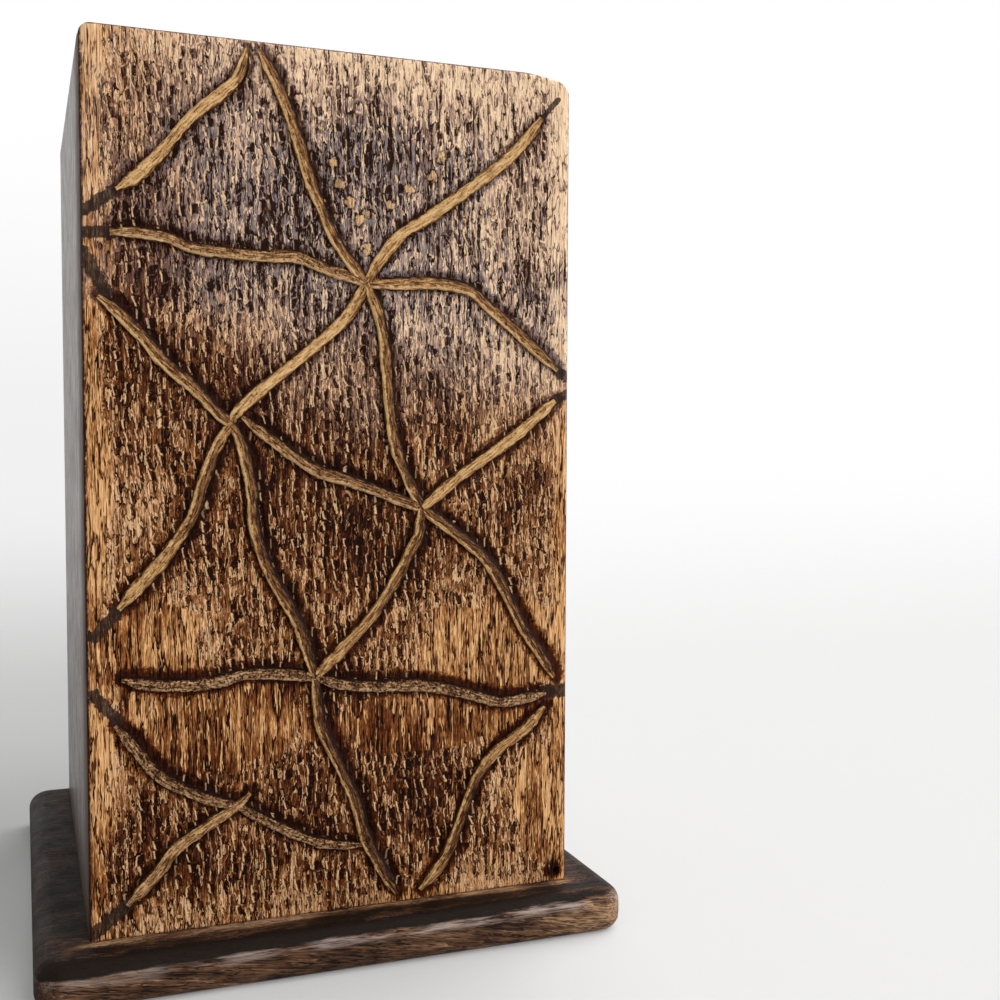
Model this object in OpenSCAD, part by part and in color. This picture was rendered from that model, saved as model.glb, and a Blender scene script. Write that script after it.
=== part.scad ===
// Puzzle box: a tall carved box on a plinth. The carved front slides up in grooves once a
// steel pin has been tilted back out of it. A false floor inside hides a catch, and the catch
// frees a drawer whose front looks like the foot of the back board.
// Millimetres, +Z up. Origin at the middle of the plinth's underside. The carved face looks to -Y.

/* [Body] */
// Width of the body, side to side
body_w = 126; // [112:1:150]
// Depth of the body, carved face to back
body_d = 144; // [128:1:175]
// Height of the body above the plinth
body_h = 220; // [200:1:260]
// Radius of the body's worn upright arrises and top edges
edge_r = 1.6; // [0.8:0.1:2.4]
// Radius of the two top corners of the carved face, seen from the front
corner_r = 2.8; // [1:0.1:5]

/* [Plinth] */
// Thickness of the plinth board
plinth_t = 12; // [10:0.5:18]
// How far the plinth stands out past each side
plinth_side = 13; // [8:0.5:20]
// How far the plinth stands out in front of the carved face
plinth_front = 12; // [8:0.5:20]
// How far the plinth stands out behind the back
plinth_back = 3; // [0:0.5:12]
// Radius of the plinth's corners, seen from above
plinth_corner_r = 7; // [5:0.5:12]
// Radius of the round on the plinth's upper edge
plinth_top_r = 4.8; // [2:0.1:5]
// Radius of the round on the plinth's lower edge
plinth_foot_r = 4; // [2:0.1:4.5]

/* [Carved front] */
// Thickness of the carved board
face_t = 8; // [7:0.5:12]
// Height of the carved ribs above the ground
rib_h = 1.4; // [0.6:0.1:2.5]
// Width of a carved rib at its foot
rib_w = 3.6; // [1.8:0.1:5]

/* [Slide board] */
// Thickness of the side board's lip that the slide board hooks behind
lip_t = 3; // [2.5:0.1:5]
// Thickness of the slide board's tongue
tongue_t = 4; // [3:0.1:6]
// How far each tongue reaches into its groove
tongue_reach = 4; // [2.5:0.1:4.5]
// Gap between the sliding front and the boards it runs against
slide_gap = 0.2; // [0.15:0.05:0.4]
// Size of each stop block across and up
stop_s = 8; // [6:0.5:10]
// How far a stop block stands back from the slide board
stop_d = 8; // [5:0.5:8]
// Height of the stop blocks above the sill, with the front down
stop_lift = 5.7; // [2:0.1:60]

/* [Boards] */
// Thickness of the side boards
side_t = 10; // [9.5:0.5:13]
// Thickness of the back board and of the drawer's front
back_t = 8; // [6:0.5:12]
// Thickness of the top board
top_t = 10; // [8:0.5:14]
// Thickness of the sill behind the carved front
sill_t = 9; // [9:0.5:14]
// Thickness of the compartment's floor
floor_t = 8; // [7:0.5:12]
// Thickness of the shelf
shelf_t = 6; // [4:0.5:10]
// Thickness of the false floor
false_t = 4; // [3:0.5:6]
// Depth of the rebates that take the back and the top
rebate = 5; // [3:0.5:6]
// Depth of the housings that take the floor and the shelf
housing = 3; // [2:0.5:5]
// Height of the lower compartment, false floor to shelf
lower_h = 54; // [40:1:70]

/* [Locking pin] */
// Diameter of the steel locking pin
pin_d = 3; // [2:0.1:3]
// Length of the locking pin
pin_l = 26; // [20:1:32]
// Distance of the pin's axis from the body's right side and from the plinth
pin_inset = 2.8; // [2.7:0.1:3.2]
// Diameter of the poke hole through the carved face
poke_d = 2.2; // [1:0.1:2.2]
// Wood left in front of the pin's socket in the carved board
poke_skin = 1.5; // [1:0.1:3]
// Radial clearance of the pin in its bore
pin_fit = 0.05; // [0.03:0.01:0.1]
// Radial clearance of the pin in the carved board's socket
socket_fit = 0.3; // [0.2:0.05:0.4]

/* [Hidden drawer] */
// Height of the drawer chamber under the compartment's floor
chamber_h = 34; // [28:0.5:40]
// Height of the opening under the back board
drawer_h = 30; // [24:0.5:32]
// Distance between the sill and the drawer's inner end
finger_gap = 17.4; // [15:0.1:24]
// Thickness of the drawer's inner end
end_t = 8; // [6:0.5:10]
// Thickness of the drawer's sides
drawer_side_t = 6; // [4:0.5:8]
// Thickness of the drawer's bottom
drawer_bottom_t = 4; // [3:0.5:6]
// Gap round the drawer
drawer_gap = 0.3; // [0.2:0.05:0.5]

/* [Catch] */
// Length of the catch plate, along its travel
catch_l = 28; // [22:1:34]
// Width of the catch plate
catch_w = 13; // [10:0.5:16]
// Thickness of the catch plate
catch_t = 2.7; // [2:0.1:3.5]
// Travel of the catch from free to locked
catch_travel = 12; // [9:0.5:16]
// Diameter of the catch's peg
peg_d = 6; // [4:0.5:7]
// How far the peg hangs below the compartment's floor
peg_drop = 5; // [3:0.5:6]
// Gap round the catch in its recess, and of its peg in the slot
catch_gap = 0.3; // [0.2:0.05:0.5]
// Width of the finger notch in the compartment's floor and in the false floor
notch_w = 22; // [16:1:30]

/* [Fasteners] */
// Shank diameter of the plinth screws
screw_d = 3.5; // [3:0.5:4.5]
// Length of the plinth screws
screw_l = 28; // [22:1:36]
// Distance of each screw from the front or the back of the side board
screw_inset = 42; // [40:1:50]
// Shank diameter of the drawer's brads
brad_d = 1.4; // [1:0.1:2]
// Length of the drawer's brads
brad_l = 13; // [9:0.5:18]

/* [Hidden] */
$fn = 64;

walnut = [0.27, 0.17, 0.10];
dark_stain = [0.20, 0.13, 0.08];
honey = [0.62, 0.40, 0.20];
bare_wood = [0.74, 0.56, 0.36];
steel = [0.55, 0.56, 0.58];

// fits that no one size sets
glue_fit = 0.05;         // radial room of a dowel, screw or brad in its hole
pin_rest_gap = 0.4;      // pin to the carved board, and to the end of its bore, at rest
edge_clear = 0.4;        // shelf and false floor to what they stand clear of
notch_clear = 2;         // finger notch to the drawer's inner end

// plinth and body
plinth_w = body_w + 2 * plinth_side;
plinth_d = plinth_front + body_d + plinth_back;
face_y = -plinth_d / 2 + plinth_front;
back_y = face_y + body_d;
seat_z = plinth_t;
top_z = seat_z + body_h;
half_w = body_w / 2;
inner_x = half_w - side_t;

// carved front, its slide board and the grooves
side_y = face_y + face_t + slide_gap;
lip_back_y = side_y + lip_t;
tongue_y = lip_back_y + slide_gap;
slide_back_y = tongue_y + tongue_t;
inner_y = slide_back_y + slide_gap;
neck_x = inner_x - slide_gap;
tongue_x = inner_x + tongue_reach;

// boards inside
back_in_y = back_y - back_t;
top_under_z = top_z - top_t;
sill_back_y = inner_y + sill_t;
floor_z = seat_z + chamber_h;
floor_top_z = floor_z + floor_t;
false_top_z = floor_top_z + false_t;
shelf_z = false_top_z + lower_h;
shelf_y = sill_back_y + edge_clear;
stop_z = false_top_z + stop_lift;

// locking pin
pin_x = half_w - pin_inset;
pin_z = seat_z + pin_inset;
pin_y = side_y + pin_rest_gap;
bore_end_y = pin_y + pin_l + pin_rest_gap;

// drawer
end_y = sill_back_y + finger_gap;
end_back_y = end_y + end_t;
drawer_x = inner_x - drawer_gap;
drawer_z = seat_z + drawer_gap;
drawer_top_z = seat_z + drawer_h - drawer_gap;
end_top_z = floor_z - drawer_gap;
tray_z = drawer_z + drawer_bottom_t;

// catch, drawn free; it moves to -X to lock
peg_x = catch_travel / 2;
peg_y = end_back_y + edge_clear + peg_d / 2;
peg_foot_z = floor_z - peg_drop;
recess_t = catch_t + catch_gap;
recess_l = catch_l + catch_travel + 2 * catch_gap;
recess_w = catch_w + 2 * catch_gap;
notch_back_y = end_y - notch_clear;
nick_d = 2;
nick_inset = 4;

// screws and brads
screw_head_d = 2 * screw_d;
screw_head_h = screw_d * 0.6;
screw_sink = 0.6;
screw_slot_w = 1;
screw_slot_h = 0.8;
point_d = 0.4;           // diameter of the blunt tip of a screw or brad
screw_x = half_w - side_t / 2;
screw_ys = [side_y + screw_inset, back_y - screw_inset];
brad_head_d = brad_d * 1.7;
brad_head_h = 0.6;
brad_x = drawer_x - drawer_side_t / 2;
brad_step = (back_in_y - end_back_y) / 4;

// The carved ribs. Each line is one rib, its points in thousandths of the face's width and
// height from its lower left corner. Ribs that meet share a knot.
knot_a = [550, 736];
knot_b = [277, 572];
knot_c = [668, 474];
knot_d = [442, 280];
knot_e = [285, 138];
rib_lines = [
    [[312, 988], [296, 958], [262, 937], [205, 908], [150, 868], [105, 841], [64, 824]],
    [[336, 988], [368, 957], [405, 905], [432, 855], [457, 820], [489, 781], knot_a],
    [[932, 946], [895, 916], [830, 880], [690, 820], [625, 795], [580, 764], knot_a],
    [knot_a, [600, 737], [700, 740], [770, 734], [808, 718], [870, 690], [972, 641]],
    [[52, 778], [100, 779], [160, 775], [215, 765], [340, 761], [405, 762], [455, 753], knot_a],
    [knot_a, [530, 714], [495, 688], [430, 655], [305, 595], knot_b],
    [knot_a, [573, 705], [588, 665], [596, 605], [609, 552], [634, 512], knot_c],
    [[30, 709], [60, 696], [105, 670], [155, 637], [205, 613], [245, 588], knot_b],
    [[298, 580], [350, 557], [400, 536], [455, 517], [520, 506], [635, 481], knot_c],
    [knot_b, [248, 545], [222, 505], [200, 468], [150, 425], [100, 393], [60, 368]],
    [knot_b, [297, 550], [315, 500], [322, 452], [350, 403], [385, 367], [413, 335], knot_d],
    [knot_c, [700, 488], [750, 511], [820, 538], [880, 562], [966, 603]],
    [knot_c, [765, 433], [806, 412], [836, 388], [896, 323], [935, 291], [968, 260]],
    [knot_c, [662, 443], [640, 420], [610, 388], [560, 347], [505, 314], knot_d],
    [[64, 290], [110, 284], [170, 280], [240, 281], [320, 288], knot_d],
    [knot_d, [490, 270], [560, 264], [650, 262], [720, 255], [790, 243], [850, 234], [948, 240]],
    [knot_d, [447, 245], [456, 217], [485, 180], [525, 128], [550, 78], [612, 12]],
    [[945, 223], [900, 197], [845, 177], [800, 152], [772, 120], [722, 50], [662, 12]],
    [[52, 240], [85, 216], [125, 185], [165, 167], [225, 149], knot_e],
    [knot_e, [325, 122], [375, 105], [440, 86], [500, 78], [543, 75]],
    [[308, 150], knot_e, [225, 118], [165, 96], [130, 71], [70, 37]]
];
rib_steps = 2;           // steps from one point of a rib to the next
rib_root = 0.8;          // depth that a rib is rooted in the board
rib_end = 0.5;           // width of a rib's end, as a share of the rib
rib_foot = 0.6;          // height of a rib's foot, as a share of the rib
rib_crest = 0.5;         // width of a rib's crest, as a share of the rib
rib_step_in = 0.35;      // distance from a rib's end to the end of its crest
knot_size = 1.2;         // width of a knot, as a share of the ribs that meet there

// a box between two corners
module block(low, high) {
    translate(low) cube(high - low);
}

// a rectangle from its lower left corner, with a radius for each corner: lower left, lower
// right, upper right, upper left
module rounded(w, h, r) {
    difference() {
        square([w, h]);
        for (c = [[0, 0, 0], [w, 0, 1], [w, h, 2], [0, h, 3]])
            if (r[c[2]] > 0)
                translate([c[0], c[1]]) rotate(90 * c[2]) difference() {
                    translate([-1, -1]) square(r[c[2]] + 1);
                    translate([r[c[2]], r[c[2]]]) circle(r[c[2]]);
                }
    }
}

// a profile in X and Z, run along Y
module along_y(y0, y1) {
    translate([0, y1, 0]) rotate([90, 0, 0]) linear_extrude(y1 - y0) children();
}

// a profile in Y and Z, run along X
module along_x(x0, x1) {
    translate([x0, 0, 0]) rotate([90, 0, 90]) linear_extrude(x1 - x0) children();
}

// ---- plinth ----

// half of the plinth's edge: its middle at x = 0 and its rounded edge at x = w
module plinth_edge(w) {
    rounded(w, plinth_t, [0, plinth_foot_r, plinth_top_r, 0]);
}

module plinth_section(w) {
    plinth_edge(w / 2);
    mirror([1, 0]) plinth_edge(w / 2);
}

module plinth_screw_holes() {
    for (x = [-screw_x, screw_x], y = screw_ys)
        translate([x, y, 0]) {
            translate([0, 0, -1]) cylinder(h = plinth_t + 2, d = screw_d + 2 * glue_fit);
            translate([0, 0, -1]) cylinder(h = screw_sink + 1, d = screw_head_d + 2 * glue_fit);
            translate([0, 0, screw_sink])
                cylinder(h = screw_head_h, d1 = screw_head_d + 2 * glue_fit, d2 = screw_d + 2 * glue_fit);
        }
}

module plinth() {
    r = plinth_corner_r;
    color(walnut) difference() {
        union() {
            along_x(r - plinth_w / 2, plinth_w / 2 - r) plinth_section(plinth_d);
            along_y(r - plinth_d / 2, plinth_d / 2 - r) plinth_section(plinth_w);
            for (x = [-1, 1], y = [-1, 1])
                translate([x * (plinth_w / 2 - r), y * (plinth_d / 2 - r), 0])
                    rotate_extrude() plinth_edge(r);
        }
        plinth_screw_holes();
    }
}

module plinth_screws() {
    shank_z = screw_sink + screw_head_h;
    color(steel) for (x = [-screw_x, screw_x], y = screw_ys)
        translate([x, y, 0]) difference() {
            union() {
                translate([0, 0, screw_sink])
                    cylinder(h = screw_head_h, d1 = screw_head_d, d2 = screw_d);
                translate([0, 0, shank_z]) cylinder(h = screw_l - screw_head_h - screw_d, d = screw_d);
                translate([0, 0, screw_sink + screw_l - screw_d])
                    cylinder(h = screw_d, d1 = screw_d, d2 = point_d);
            }
            translate([-screw_head_d, -screw_slot_w / 2, screw_sink - 1])
                cube([2 * screw_head_d, screw_slot_w, screw_slot_h + 1]);
        }
}

// ---- body ----

// the right side board, whole, before its bore
module side_blank() {
    difference() {
        intersection() {
            translate([inner_x, side_y, seat_z])
                linear_extrude(body_h) rounded(side_t, back_y - side_y, [0, 0, edge_r, 0]);
            translate([inner_x, 0, seat_z])
                along_y(side_y - 1, back_y + 1) rounded(side_t, body_h, [0, 0, edge_r, 0]);
        }
        // groove for the slide board's tongue
        block([inner_x - 1, lip_back_y, seat_z - 1],
              [tongue_x + slide_gap, inner_y, top_z + 1]);
        // rebate for the back board and the drawer's front
        block([inner_x - 1, back_in_y, seat_z - 1], [inner_x + rebate, back_y + 1, top_z + 1]);
        // rebate for the top board
        block([inner_x - 1, inner_y, top_under_z], [inner_x + rebate, back_y, top_z + 1]);
        // housings for the compartment's floor and the shelf
        block([inner_x - 1, sill_back_y, floor_z], [inner_x + housing, back_y, floor_top_z]);
        block([inner_x - 1, shelf_y, shelf_z], [inner_x + housing, back_y, shelf_z + shelf_t]);
        // pilot holes for the plinth screws
        for (y = screw_ys)
            translate([screw_x, y, seat_z - 1])
                cylinder(h = screw_sink + screw_l - plinth_t + 1.5, d = screw_d + 2 * glue_fit);
    }
}

module right_side() {
    color(dark_stain) difference() {
        side_blank();
        translate([pin_x, bore_end_y, pin_z]) rotate([90, 0, 0])
            cylinder(h = bore_end_y - side_y + 1, d = pin_d + 2 * pin_fit);
    }
}

module left_side() {
    color(dark_stain) mirror([1, 0, 0]) side_blank();
}

module back_board() {
    w = inner_x + rebate;
    color(dark_stain) intersection() {
        block([-w, back_in_y, seat_z + drawer_h], [w, back_y, top_z]);
        translate([0, back_in_y, 0]) along_x(-w, w)
            rounded(back_t, top_z, [0, 0, edge_r, 0]);
    }
}

module top_board() {
    w = inner_x + rebate;
    color(dark_stain) block([-w, inner_y, top_under_z], [w, back_in_y, top_z]);
}

module sill_board() {
    color(bare_wood) block([-inner_x, inner_y, seat_z], [inner_x, sill_back_y, false_top_z]);
}

module shelf() {
    w = inner_x + housing;
    color(bare_wood) block([-w, shelf_y, shelf_z], [w, back_in_y, shelf_z + shelf_t]);
}

module compartment_floor() {
    w = inner_x + housing;
    slot_w = peg_d + 2 * catch_gap;
    color(bare_wood) difference() {
        block([-w, sill_back_y, floor_z], [w, back_in_y, floor_top_z]);
        // recess that the catch plate slides in
        block([-recess_l / 2, peg_y - recess_w / 2, floor_top_z - recess_t],
              [recess_l / 2, peg_y + recess_w / 2, floor_top_z + 1]);
        // slot that the peg runs in
        translate([0, peg_y, floor_z - 1]) linear_extrude(floor_t + 2) {
            translate([-catch_travel / 2, -slot_w / 2]) square([catch_travel, slot_w]);
            for (x = [-catch_travel / 2, catch_travel / 2]) translate([x, 0]) circle(d = slot_w);
        }
        // notch that lets a finger reach the drawer's inner end
        block([-notch_w / 2, sill_back_y - 1, floor_z - 1],
              [notch_w / 2, notch_back_y, floor_top_z + 1]);
    }
}

// ---- sliding front ----

// one rib point in the face's plane: [x, z]
function on_face(p) = [(p[0] / 1000 - 0.5) * body_w, seat_z + p[1] / 1000 * body_h];

// a smooth curve through four points, at t between the middle two
function blend(a, b, c, d, t) =
    0.5 * (2 * b + (c - a) * t + (2 * a - 5 * b + 4 * c - d) * t * t
           + (3 * b - a - 3 * c + d) * t * t * t);

function smooth_path(p) = [
    for (i = [0 : len(p) - 2], s = [0 : rib_steps - 1])
        blend(p[max(i - 1, 0)], p[i], p[i + 1], p[min(i + 2, len(p) - 1)], s / rib_steps),
    p[len(p) - 1]
];

function toward(a, b, d) = a + (b - a) / norm(b - a) * d;

// a rib's outline in the face's plane, w wide, shortened by d and narrowing at its two ends
module rib_outline(points, w, d) {
    whole = smooth_path([for (p = points) on_face(p)]);
    n = len(whole);
    path = [
        for (i = [0 : n - 1])
            i == 0 ? toward(whole[0], whole[1], d)
                   : i == n - 1 ? toward(whole[n - 1], whole[n - 2], d) : whole[i]
    ];
    edge = [
        for (i = [0 : n - 1])
            let (
                ahead = path[min(i + 1, n - 1)] - path[max(i - 1, 0)],
                taper = i == 0 || i == n - 1 ? rib_end : 1
            )
            [ahead[1], -ahead[0]] / norm(ahead) * taper * w / 2
    ];
    polygon(concat(
        [for (i = [0 : n - 1]) path[i] + edge[i]],
        [for (i = [n - 1 : -1 : 0]) path[i] - edge[i]]
    ));
}

// all ribs and knots as one relief, standing h proud of the face
module relief(w, h, d) {
    along_y(face_y - h, face_y + rib_root) {
        for (points = rib_lines) rib_outline(points, w, d);
        for (k = [knot_a, knot_b, knot_c, knot_d, knot_e])
            translate(on_face(k)) circle(d = w * knot_size);
    }
}

module carved_front() {
    color(honey) difference() {
        union() {
            intersection() {
                translate([-half_w, face_y, seat_z])
                    linear_extrude(body_h) rounded(body_w, face_t, [edge_r, edge_r, 0, 0]);
                translate([-half_w, 0, seat_z]) along_y(face_y - 1, face_y + face_t + 1)
                    rounded(body_w, body_h, [0, 0, corner_r, corner_r]);
                translate([0, face_y, seat_z]) along_x(-half_w - 1, half_w + 1)
                    rounded(face_t, body_h, [0, 0, 0, edge_r]);
            }
            relief(rib_w, rib_h * rib_foot, 0);
            relief(rib_w * rib_crest, rib_h, rib_step_in);
        }
        // socket for the locking pin, and the poke hole in front of it
        translate([pin_x, face_y + face_t + 1, pin_z]) rotate([90, 0, 0])
            cylinder(h = face_t + 1 - poke_skin, d = pin_d + 2 * socket_fit);
        translate([pin_x, face_y + face_t, pin_z]) rotate([90, 0, 0])
            cylinder(h = face_t + 1, d = poke_d);
    }
}

module slide_board() {
    color(bare_wood) {
        block([-neck_x, face_y + face_t, seat_z], [neck_x, tongue_y, top_z]);
        block([-tongue_x, tongue_y, seat_z], [tongue_x, slide_back_y, top_z]);
    }
}

module stop_blocks() {
    color(bare_wood) for (side = [0, 1]) mirror([side, 0, 0])
        block([neck_x - stop_s, slide_back_y, stop_z],
              [neck_x, slide_back_y + stop_d, stop_z + stop_s]);
}

module locking_pin() {
    bevel = pin_d / 10;
    color(steel) translate([pin_x, pin_y, pin_z]) rotate([-90, 0, 0]) {
        cylinder(h = bevel, d1 = pin_d - 2 * bevel, d2 = pin_d);
        translate([0, 0, bevel]) cylinder(h = pin_l - 2 * bevel, d = pin_d);
        translate([0, 0, pin_l - bevel]) cylinder(h = bevel, d1 = pin_d, d2 = pin_d - 2 * bevel);
    }
}

// ---- false floor and catch ----

module false_floor() {
    w = inner_x - slide_gap;
    color(bare_wood) difference() {
        block([-w, shelf_y, floor_top_z], [w, back_in_y - edge_clear, false_top_z]);
        // shallow thumb notch in the front edge
        translate([0, shelf_y, floor_top_z - 1]) cylinder(h = false_t + 2, d = notch_w / 2);
    }
}

module catch_plate() {
    low_z = floor_top_z - recess_t;
    color(dark_stain) difference() {
        block([peg_x - catch_l / 2, peg_y - catch_w / 2, low_z],
              [peg_x + catch_l / 2, peg_y + catch_w / 2, low_z + catch_t]);
        translate([peg_x, peg_y, low_z - 1]) cylinder(h = catch_t + 2, d = peg_d + 2 * glue_fit);
        // nail nicks at both ends
        for (x = [-1, 1])
            translate([peg_x + x * (catch_l / 2 - nick_inset), peg_y, low_z + catch_t])
                rotate([90, 0, 0]) cylinder(h = catch_w / 2, d = nick_d, center = true);
    }
}

module catch_peg() {
    color(bare_wood) translate([peg_x, peg_y, peg_foot_z])
        cylinder(h = floor_top_z - recess_t + catch_t - peg_foot_z, d = peg_d);
}

// ---- hidden drawer ----

module drawer_front() {
    w = inner_x + rebate - drawer_gap;
    color(dark_stain) block([-w, back_in_y, drawer_z], [w, back_y, drawer_top_z]);
}

module drawer_inner_end() {
    notch_x = peg_d / 2 + 2 * catch_gap;
    color(bare_wood) difference() {
        block([-drawer_x, end_y, drawer_z], [drawer_x, end_back_y, end_top_z]);
        // gate that passes the catch's peg when the catch is free
        block([peg_x - notch_x, end_y - 1, peg_foot_z - catch_gap],
              [peg_x + notch_x, end_back_y + 1, end_top_z + 1]);
    }
}

module brad_row(x) {
    for (i = [0.5, 2, 3.5]) translate([x, end_back_y + i * brad_step, drawer_z]) children();
}

module drawer_side() {
    color(bare_wood) difference() {
        block([drawer_x - drawer_side_t, end_back_y, tray_z], [drawer_x, back_in_y, drawer_top_z]);
        brad_row(brad_x) cylinder(h = brad_l + 0.5, d = brad_d + 2 * glue_fit);
    }
}

module drawer_right_side() {
    drawer_side();
}

module drawer_left_side() {
    mirror([1, 0, 0]) drawer_side();
}

module drawer_bottom() {
    color(bare_wood) difference() {
        block([-drawer_x, end_back_y, drawer_z], [drawer_x, back_in_y, tray_z]);
        for (x = [-brad_x, brad_x]) brad_row(x) {
            translate([0, 0, -1]) cylinder(h = drawer_bottom_t + 2, d = brad_d + 2 * glue_fit);
            translate([0, 0, -1]) cylinder(h = brad_head_h + 1, d = brad_head_d + 2 * glue_fit);
        }
    }
}

module drawer_brads() {
    color(steel) for (x = [-brad_x, brad_x]) brad_row(x) {
        cylinder(h = brad_head_h, d = brad_head_d);
        translate([0, 0, brad_head_h]) cylinder(h = brad_l - brad_head_h - brad_d, d = brad_d);
        translate([0, 0, brad_l - brad_d]) cylinder(h = brad_d, d1 = brad_d, d2 = point_d);
    }
}

plinth();
left_side();
right_side();
back_board();
top_board();
sill_board();
compartment_floor();
shelf();
plinth_screws();
carved_front();
slide_board();
stop_blocks();
locking_pin();
false_floor();
catch_plate();
catch_peg();
drawer_front();
drawer_left_side();
drawer_right_side();
drawer_inner_end();
drawer_bottom();
drawer_brads();
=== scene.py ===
import bpy
import bmesh
import math
import numpy as np
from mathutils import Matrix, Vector


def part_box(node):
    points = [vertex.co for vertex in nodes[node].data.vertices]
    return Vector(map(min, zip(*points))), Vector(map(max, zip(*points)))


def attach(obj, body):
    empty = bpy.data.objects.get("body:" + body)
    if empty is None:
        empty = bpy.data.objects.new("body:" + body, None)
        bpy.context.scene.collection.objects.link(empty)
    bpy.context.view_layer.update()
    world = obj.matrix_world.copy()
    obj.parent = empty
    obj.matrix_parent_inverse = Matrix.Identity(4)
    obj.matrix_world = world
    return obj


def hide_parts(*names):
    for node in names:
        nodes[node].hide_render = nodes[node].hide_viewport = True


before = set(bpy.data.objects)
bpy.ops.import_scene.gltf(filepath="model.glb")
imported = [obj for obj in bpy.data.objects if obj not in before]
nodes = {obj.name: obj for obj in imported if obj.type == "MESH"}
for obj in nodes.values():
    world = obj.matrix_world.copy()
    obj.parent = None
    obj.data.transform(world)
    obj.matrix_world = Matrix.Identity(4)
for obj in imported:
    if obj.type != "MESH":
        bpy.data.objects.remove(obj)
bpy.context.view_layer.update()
mm = 0.001
print("frame loaded:", len(nodes), "nodes")


# camera, floor and light

shot = {
    "place": (-0.0766, -0.380, 0.1346),
    "turn": (87.15, -0.19, -20.93),
    "lens": 44.95,
}
cameraData = bpy.data.cameras.new("shotCamera")
cameraData.lens = shot["lens"]
cameraData.sensor_width = 36
camera = bpy.data.objects.new("shotCamera", cameraData)
camera.location = shot["place"]
camera.rotation_euler = [math.radians(a) for a in shot["turn"]]
bpy.context.scene.collection.objects.link(camera)
bpy.context.scene.camera = camera
bpy.context.scene.view_settings.view_transform = "Standard"

studio = {
    "floorColour": (0.74, 0.74, 0.735, 1),
    "paperShare": (1.0, 0.14),  # how much of the paper shows as plain white, far and near
    "paperFade": (0.1, 1.6),
    "paperNear": 0.38,
    "halfWidth": 14.0,
    "nearEdge": -8.0,
    "farEdge": 8.0,
    "sweepRadius": 3.0,
    "height": 9.0,
    "worldLevel": 0.26,
    # name: direction the light comes from, level on a surface that faces it, angle of softness
    "lamps": {
        "windowSide": ((0.84, -0.02, 0.56), 1.35, 100),
        "frontSoftbox": ((0.05, -0.93, 0.42), 0.30, 50),
    },
}
for lampName, (comesFrom, level, softness) in studio["lamps"].items():
    lampData = bpy.data.lights.new(lampName, "SUN")
    lampData.energy = level * math.pi
    lampData.angle = math.radians(softness)
    lamp = bpy.data.objects.new(lampName, lampData)
    lamp.rotation_euler = Vector(comesFrom).to_track_quat("Z", "Y").to_euler()
    bpy.context.scene.collection.objects.link(lamp)


# node helpers: each adds a node to a tree and gives back what it makes

def addNode(tree, kind, inputs=None, **settings):
    made = tree.nodes.new(kind)
    for key, value in settings.items():
        setattr(made, key, value)
    for key, value in (inputs or {}).items():
        join(tree, value, made.inputs[key])
    return made


def join(tree, value, socket):
    if isinstance(value, bpy.types.NodeSocket):
        tree.links.new(value, socket)
    else:
        socket.default_value = value


def maths(tree, operation, a, b=0.0, c=0.0, clamp=False):
    made = addNode(tree, "ShaderNodeMath", {0: a, 1: b, 2: c}, operation=operation, use_clamp=clamp)
    return made.outputs[0]


def plus(tree, a, b, clamp=False):
    return maths(tree, "ADD", a, b, clamp=clamp)


def minus(tree, a, b, clamp=False):
    return maths(tree, "SUBTRACT", a, b, clamp=clamp)


def times(tree, a, b, clamp=False):
    return maths(tree, "MULTIPLY", a, b, clamp=clamp)


def timesPlus(tree, a, b, c, clamp=False):
    return maths(tree, "MULTIPLY_ADD", a, b, c, clamp)


def vectorMaths(tree, operation, a, b=None):
    inputs = {0: a} if b is None else {0: a, 1: b}
    return addNode(tree, "ShaderNodeVectorMath", inputs, operation=operation).outputs[0]


def parted(tree, vector):
    return addNode(tree, "ShaderNodeSeparateXYZ", {0: vector}).outputs


def blendColour(tree, share, a, b, kind="MIX"):
    made = addNode(tree, "ShaderNodeMix", data_type="RGBA", blend_type=kind, clamp_factor=True)
    for key, value in (("Factor", share), ("A", a), ("B", b)):
        join(tree, value, [s for s in made.inputs if s.name == key and s.enabled][0])
    return [s for s in made.outputs if s.enabled][0]


def blendValue(tree, share, a, b):
    made = addNode(tree, "ShaderNodeMix", {"Factor": share, "A": a, "B": b}, data_type="FLOAT")
    return made.outputs["Result"]


def stepped(tree, value, low, high, fromValue=0.0, toValue=1.0):
    made = addNode(tree, "ShaderNodeMapRange", {"Value": value, "From Min": low, "From Max": high,
                                                "To Min": fromValue, "To Max": toValue},
                   interpolation_type="SMOOTHSTEP")
    return made.outputs["Result"]


def scaled(tree, vector, scale, turn=(0, 0, 0), shift=(0, 0, 0)):
    return addNode(tree, "ShaderNodeMapping", {"Vector": vector, "Scale": scale, "Location": shift,
                                               "Rotation": [math.radians(a) for a in turn]}).outputs[0]


def noise(tree, vector, scale=1.0, detail=2.0, rough=0.5):
    return addNode(tree, "ShaderNodeTexNoise", {"Vector": vector, "Scale": scale, "Detail": detail,
                                                "Roughness": rough}).outputs["Fac"]


# noise about zero, stretched along the axes
def waver(tree, vector, stretch, detail=2.0, rough=0.5):
    return minus(tree, noise(tree, scaled(tree, vector, stretch), 1.0, detail, rough), 0.5)


def ramp(tree, value, stops):
    made = addNode(tree, "ShaderNodeValToRGB", {"Fac": value})
    line = made.color_ramp.elements
    for element, (place, colour) in ((line[0], stops[0]), (line[1], stops[-1])):
        element.position, element.color = place, colour
    for place, colour in stops[1:-1]:
        line.new(place).color = colour
    return made.outputs["Color"]


def attributeOf(tree, name):
    made = addNode(tree, "ShaderNodeAttribute", attribute_name=name, attribute_type="GEOMETRY")
    return made.outputs["Fac"]


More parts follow.
